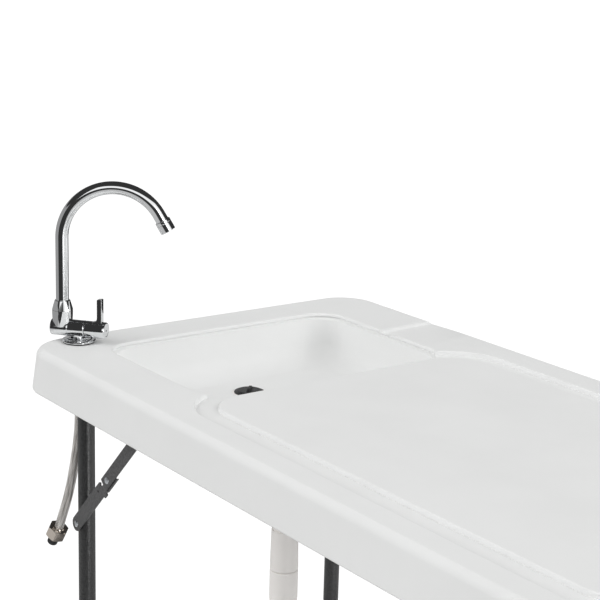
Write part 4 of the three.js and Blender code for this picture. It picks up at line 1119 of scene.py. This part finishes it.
collar = combined(
    faceted(
        [(0.015, 0.0459), (0.015, 0.0468), (0.0112, 0.06), (0.0106, collar_top)],
        [(0.0153, 0.046), (0.0122, collar_top - 0.0001)],
    ),
    "-", tidied(lathed([(0.0096, 0.045), (0.0096, 0.062)], 96)),
)
collar.transform(shift(riser_foot))
on_tap(
    "collar_nut_faces", bevelled(collar, 0.0003, 14), chrome, "collar_nut", sharp=14, ends=False
)

# The gooseneck: straight up, an arc of 150 degrees in a plane turned from the body's, and a
# short straight end
spout_radius, spout_bend, spout_sweep = 0.0093, 0.0743, radians(150)
spout_turn, straight_top, straight_end = radians(12.8), 0.1514, 0.0086
towards = array([cos(spout_turn), sin(spout_turn), 0])
spout_side = array([-sin(spout_turn), cos(spout_turn), 0])
upward = array([0, 0, 1.0])
arc = linspace(0, spout_sweep, 90)[:, None]
arc_path = (
    riser_foot + spout_bend * (1 - cos(arc)) * towards
    + (straight_top + spout_bend * sin(arc)) * upward
)
spout_way = sin(spout_sweep) * towards + cos(spout_sweep) * upward
cup_place = arc_path[-1] + straight_end * spout_way
spout_path = vstack([
    linspace(riser_foot + 0.0513 * upward, riser_foot + (straight_top - 0.0002) * upward, 6),
    arc_path, cup_place, cup_place + 0.009 * spout_way,
])
on_tap(
    "spout_gooseneck", mesh_of(carried(spout_path, spout_side, spout_radius, 96)), chrome,
    "spout", "gooseneck", 40,
)
aerator_profile = softened(
    [
        (0.0096, 0.0003), (0.0106, 0.0003), (0.0112, 0.0009), (0.0112, 0.0046), (0.0108, 0.005),
        (0.0112, 0.0054), (0.0112, 0.0173), (0.0106, 0.0179), (0.0084, 0.0179), (0.0084, 0.014),
        (0, 0.014), (0, 0.0095), (0.0096, 0.0095),
    ],
    0.0003, 4,
)
aerator = mesh_of(turned(vstack([aerator_profile, aerator_profile[:1]]), 96))
aerator.transform(pointing(cup_place, spout_way))
on_tap("aerator_cup", aerator, chrome, "aerator", "gooseneck")


def threaded(radius, depth, pitch, low, high, around=48):
    """Screw thread: r = radius less depth times a triangle wave of h / pitch - v / 2 pi."""
    v = round_angles(around)[None, :]
    h = linspace(low, high, int((high - low) / pitch * 8))[:, None]
    wave = np.abs(2 * ((h / pitch - v / (2 * pi)) % 1) - 1)
    fade = np.clip(np.minimum(h - low, high - h) / pitch, 0, 1)
    r = radius - depth * wave * fade
    return stack([r * cos(v), r * sin(v), np.broadcast_to(h, r.shape)], 2)


# Below the deck: the threaded shank, its washer and its lock nut
shank_foot, shank_top, shank_bore = -0.071, 0.0127, 0.0045
shank_grid = concatenate([
    threaded(0.0075, 0.0006, 0.0014, shank_foot, shank_top),
    turned([(shank_bore, shank_top), (shank_bore, shank_foot)], 48),
])
on_tap("tap_shank_thread", mesh_of(shank_grid, ring=True), nickel, "tap_shank", sharp=50)
washer = [(shank_hole, -0.0148), (0.015, -0.0148), (0.015, -0.0133), (shank_hole, -0.0133)]
on_tap("tap_washer_ring", lathed(washer, 64, 0.0002, 3, True), zinc, "tap_washer")
on_tap(
    "tap_lock_faces",
    hexagon_nut(0.0242, [(shank_hole, -0.013), (shank_hole, -0.024)], -0.0221, -0.0151),
    nickel, "tap_lock_nut", sharp=20, ends=False,
)


# Sink drain
# A white plastic waste under the bowl: a flange let into the floor, its tail, a gasket, a
# lock nut, a slip nut and an offset pipe that carries the water clear of the folded legs.
tail_foot = 0.823
flange = [
    (0.016, tail_foot), (0.019, tail_foot), (0.019, 0.8633), (0.025, 0.8633), (0.025, 0.865),
    (0.017, 0.865), (0.016, 0.864),
]
gasket = [(tail_hole, 0.8577), (0.027, 0.8577), (0.027, 0.8607), (tail_hole, 0.8607)]
slip_height, pipe_top = 0.016, 0.8227
slip_foot = tail_foot - slip_height / 3
slip_top = slip_foot + slip_height
slip_bore = [
    (tail_hole, slip_top + 0.002), (tail_hole, pipe_top), (0.0178, pipe_top),
    (0.0178, slip_foot - 0.002),
]
lock_bore = [(tail_hole, 0.86), (tail_hole, 0.846)]
for name, mesh, finish, solid, sharp, ends in (
    (
        "drain_flange_ring", lathed(flange, 96, 0.0005, 5, True), pipe_plastic,
        "drain_flange", 35, True,
    ),
    (
        "drain_gasket_ring", lathed(gasket, 96, 0.0006, 4, True), rubber,
        "drain_gasket", 35, True,
    ),
    (
        "drain_lock_faces", hexagon_nut(0.054, lock_bore, 0.8484, 0.8574, 0.0006), pipe_plastic,
        "drain_lock_nut", 20, False,
    ),
    (
        "drain_slip_faces", hexagon_nut(0.048, slip_bore, slip_foot, slip_top, 0.0006),
        pipe_plastic, "drain_slip_nut", 20, False,
    ),
):
    placed(name, mesh, finish, "table", solid, at_drain, sharp, ends)

# The offset pipe: two bends of 60 degrees with a slanted run between them
bend, bend_turn = 0.042, radians(60)
offset = hose_axis[0] - drain_place.x
slant = (offset - 2 * bend * (1 - cos(bend_turn))) / sin(bend_turn)
turn_steps = linspace(0, bend_turn, 24)
start = array([drain_place.x, drain_place.y, pipe_top])
first = start + stack([
    bend * (1 - cos(turn_steps)), 0 * turn_steps, -0.008 - bend * sin(turn_steps)
], 1)
slant_way = array([sin(bend_turn), 0, -cos(bend_turn)])
back = bend_turn - turn_steps
second = first[-1] + slant * slant_way + stack([
    bend * (cos(back) - cos(bend_turn)), 0 * back, -bend * (sin(bend_turn) - sin(back))
], 1)
pipe_path = vstack([start, first, second, [*second[-1, :2], 0.6643]])
outer_pipe, inner_pipe = (carried(pipe_path, (0, 1, 0), r, 64) for r in (0.0175, 0.0155))
placed(
    "drain_offset_elbow", mesh_of(concatenate([outer_pipe, inner_pipe[::-1]]), ring=True),
    pipe_plastic, "table", "drain_offset_pipe", sharp=50,
)

# The rubber plug with its moulded bar grip
plug_seat = 0.8653
plug_profile = softened(
    [
        (0, plug_seat - 0.007), (0.0135, plug_seat - 0.007), (0.0152, plug_seat),
        (0.0225, plug_seat), (0.0225, plug_seat + 0.0012), (0.0169, plug_seat + 0.0035),
        (0, plug_seat + 0.0035),
    ],
    0.0008, 6,
)
grip_profile = [
    (-0.015, 0.001), (0.015, 0.001), (0.012, 0.0062), (0.0075, 0.00775), (-0.0075, 0.00775),
    (-0.012, 0.0062),
]
grip_width = 0.0045
grip = cut_sheet([softened(grip_profile, 0.0016, 6, True)], grip_width, 0.001)
grip.transform(
    shift((0, 0, plug_seat)) @ Matrix.Rotation(pi * 3 / 4, 4, "Z")
    @ shift((0, grip_width / 2, 0)) @ upright
)
placed(
    "sink_plug_rubber",
    combined(tidied(lathed(plug_profile, 72)), "+", tidied(grip, 40, False)),
    rubber, "plug", "sink_plug", at_drain, 35, False,
)


# Studio
# A plain pale floor that runs out into white, an even white surround, and two large soft
# lights. Dark and bright parts that only mirrors see give the chrome its bands.
floor_radius, floor_sides = 1.5, 96
floor_mesh = bpy.data.meshes.new("floor")
floor_ring = turned([(floor_radius, -0.0005)], floor_sides)[0]
floor_mesh.from_pydata(floor_ring, [], [list(range(floor_sides))])
floor_material, add, join = fresh_material(
    "pale floor", Base_Color=(0.56, 0.56, 0.56, 1), Roughness=0.7, Emission_Color=(1, 1, 1, 1)
)
distance = add("VectorMath", {0: add("TexCoord")["Object"]}, operation="LENGTH")
fade = add(
    "MapRange", {"Value": distance["Value"]}, interpolation_type="SMOOTHSTEP",
    From_Min=0.8, From_Max=1.35, To_Min=0.28,
)
camera_ray = add("LightPath")["Is Camera Ray"]
glow = add("Math", {0: fade["Result"], 1: camera_ray}, operation="MULTIPLY")
join(Emission_Strength=glow["Value"])
floor_mesh.materials.append(floor_material)
in_scene("floor", floor_mesh)

# The surround: white for the eye, an even dim white for the light that it gives, and for
# mirrors a dark room with a lit ground and five lit panels, one of them a narrow bright strip
world = bpy.data.worlds.new("white studio")
scene.world = world
world.use_nodes = True
world.node_tree.nodes.clear()
add = adder(world.node_tree)
way = add("TexCoord")["Generated"]
height = add("SeparateXYZ", {"Vector": way})["Z"]
level_way = add("VectorMath", {0: way, 1: (1, 1, 0)}, operation="MULTIPLY")
level_way = add("VectorMath", {0: level_way["Vector"]}, operation="NORMALIZE")["Vector"]


def both(a, b, operation="MULTIPLY"):
    return add("Math", {0: a, 1: b}, operation=operation)["Value"]


def step_up(value, edge, soft):
    """Rises smoothly from zero to one where the value passes the edge."""
    return add(
        "MapRange", {"Value": value}, interpolation_type="SMOOTHSTEP", From_Min=edge - soft,
        From_Max=edge + soft,
    )["Result"]


def panel(middle, half, low, high, soft=2.0):
    """A patch of the surround, one inside and zero outside, by its azimuth's middle and half
    width and its lowest and highest elevation, all in degrees."""
    middle, half, low, high, soft = radians([middle, half, low, high, soft])
    ahead = (cos(middle), sin(middle), 0)
    facing = add("VectorMath", {0: level_way, 1: ahead}, operation="DOT_PRODUCT")["Value"]
    patch = both(
        step_up(facing, cos(half), sin(half) * soft), step_up(height, sin(low), soft)
    )
    return both(patch, both(1.0, step_up(height, sin(high), soft), "SUBTRACT"))


horizon = sin(radians(-22))
ground = both(1.0, step_up(height, horizon, radians(1)), "SUBTRACT")
mirrored = 0.035
for patch, brightness in (
    (ground, 0.5), (panel(9, 24, -22, 38), 0.95), (panel(64, 31, -22, 4), 0.9),
    (panel(205, 61, -22, 20), 0.3), (panel(-40, 25, 9, 38), 1.0), (panel(0, 6, -20, 20), 5.5),
):
    mirrored = both(mirrored, both(patch, brightness), "ADD")
rays = add("LightPath")
even = add("Background", Color=(1, 1, 1, 1), Strength=0.52)["Background"]
mirror = add("Background", {"Strength": mirrored}, Color=(1, 1, 1, 1))["Background"]
seen = add("Background", Color=(1, 1, 1, 1), Strength=1.1)["Background"]
unseen = add("MixShader", {"Fac": rays["Is Glossy Ray"], 1: even, 2: mirror})["Shader"]
shown = add("MixShader", {"Fac": rays["Is Camera Ray"], 1: unseen, 2: seen})["Shader"]
add("OutputWorld", {"Surface": shown})

# Two wide soft lights, one far to the right of the camera and one far to its left
light_elevation, light_spread = 32, 50
for azimuth, strength in ((24, 1.5), (-112, 1.47)):
    soft = bpy.data.lights.new("soft light", "SUN")
    soft.energy = strength
    soft.angle = radians(light_spread)
    light = in_scene("soft light", soft)
    light.rotation_euler = (0, radians(90 - light_elevation), radians(azimuth))
    light.visible_glossy = False

scene.view_settings.view_transform = "Standard"
scene.view_settings.look = "None"
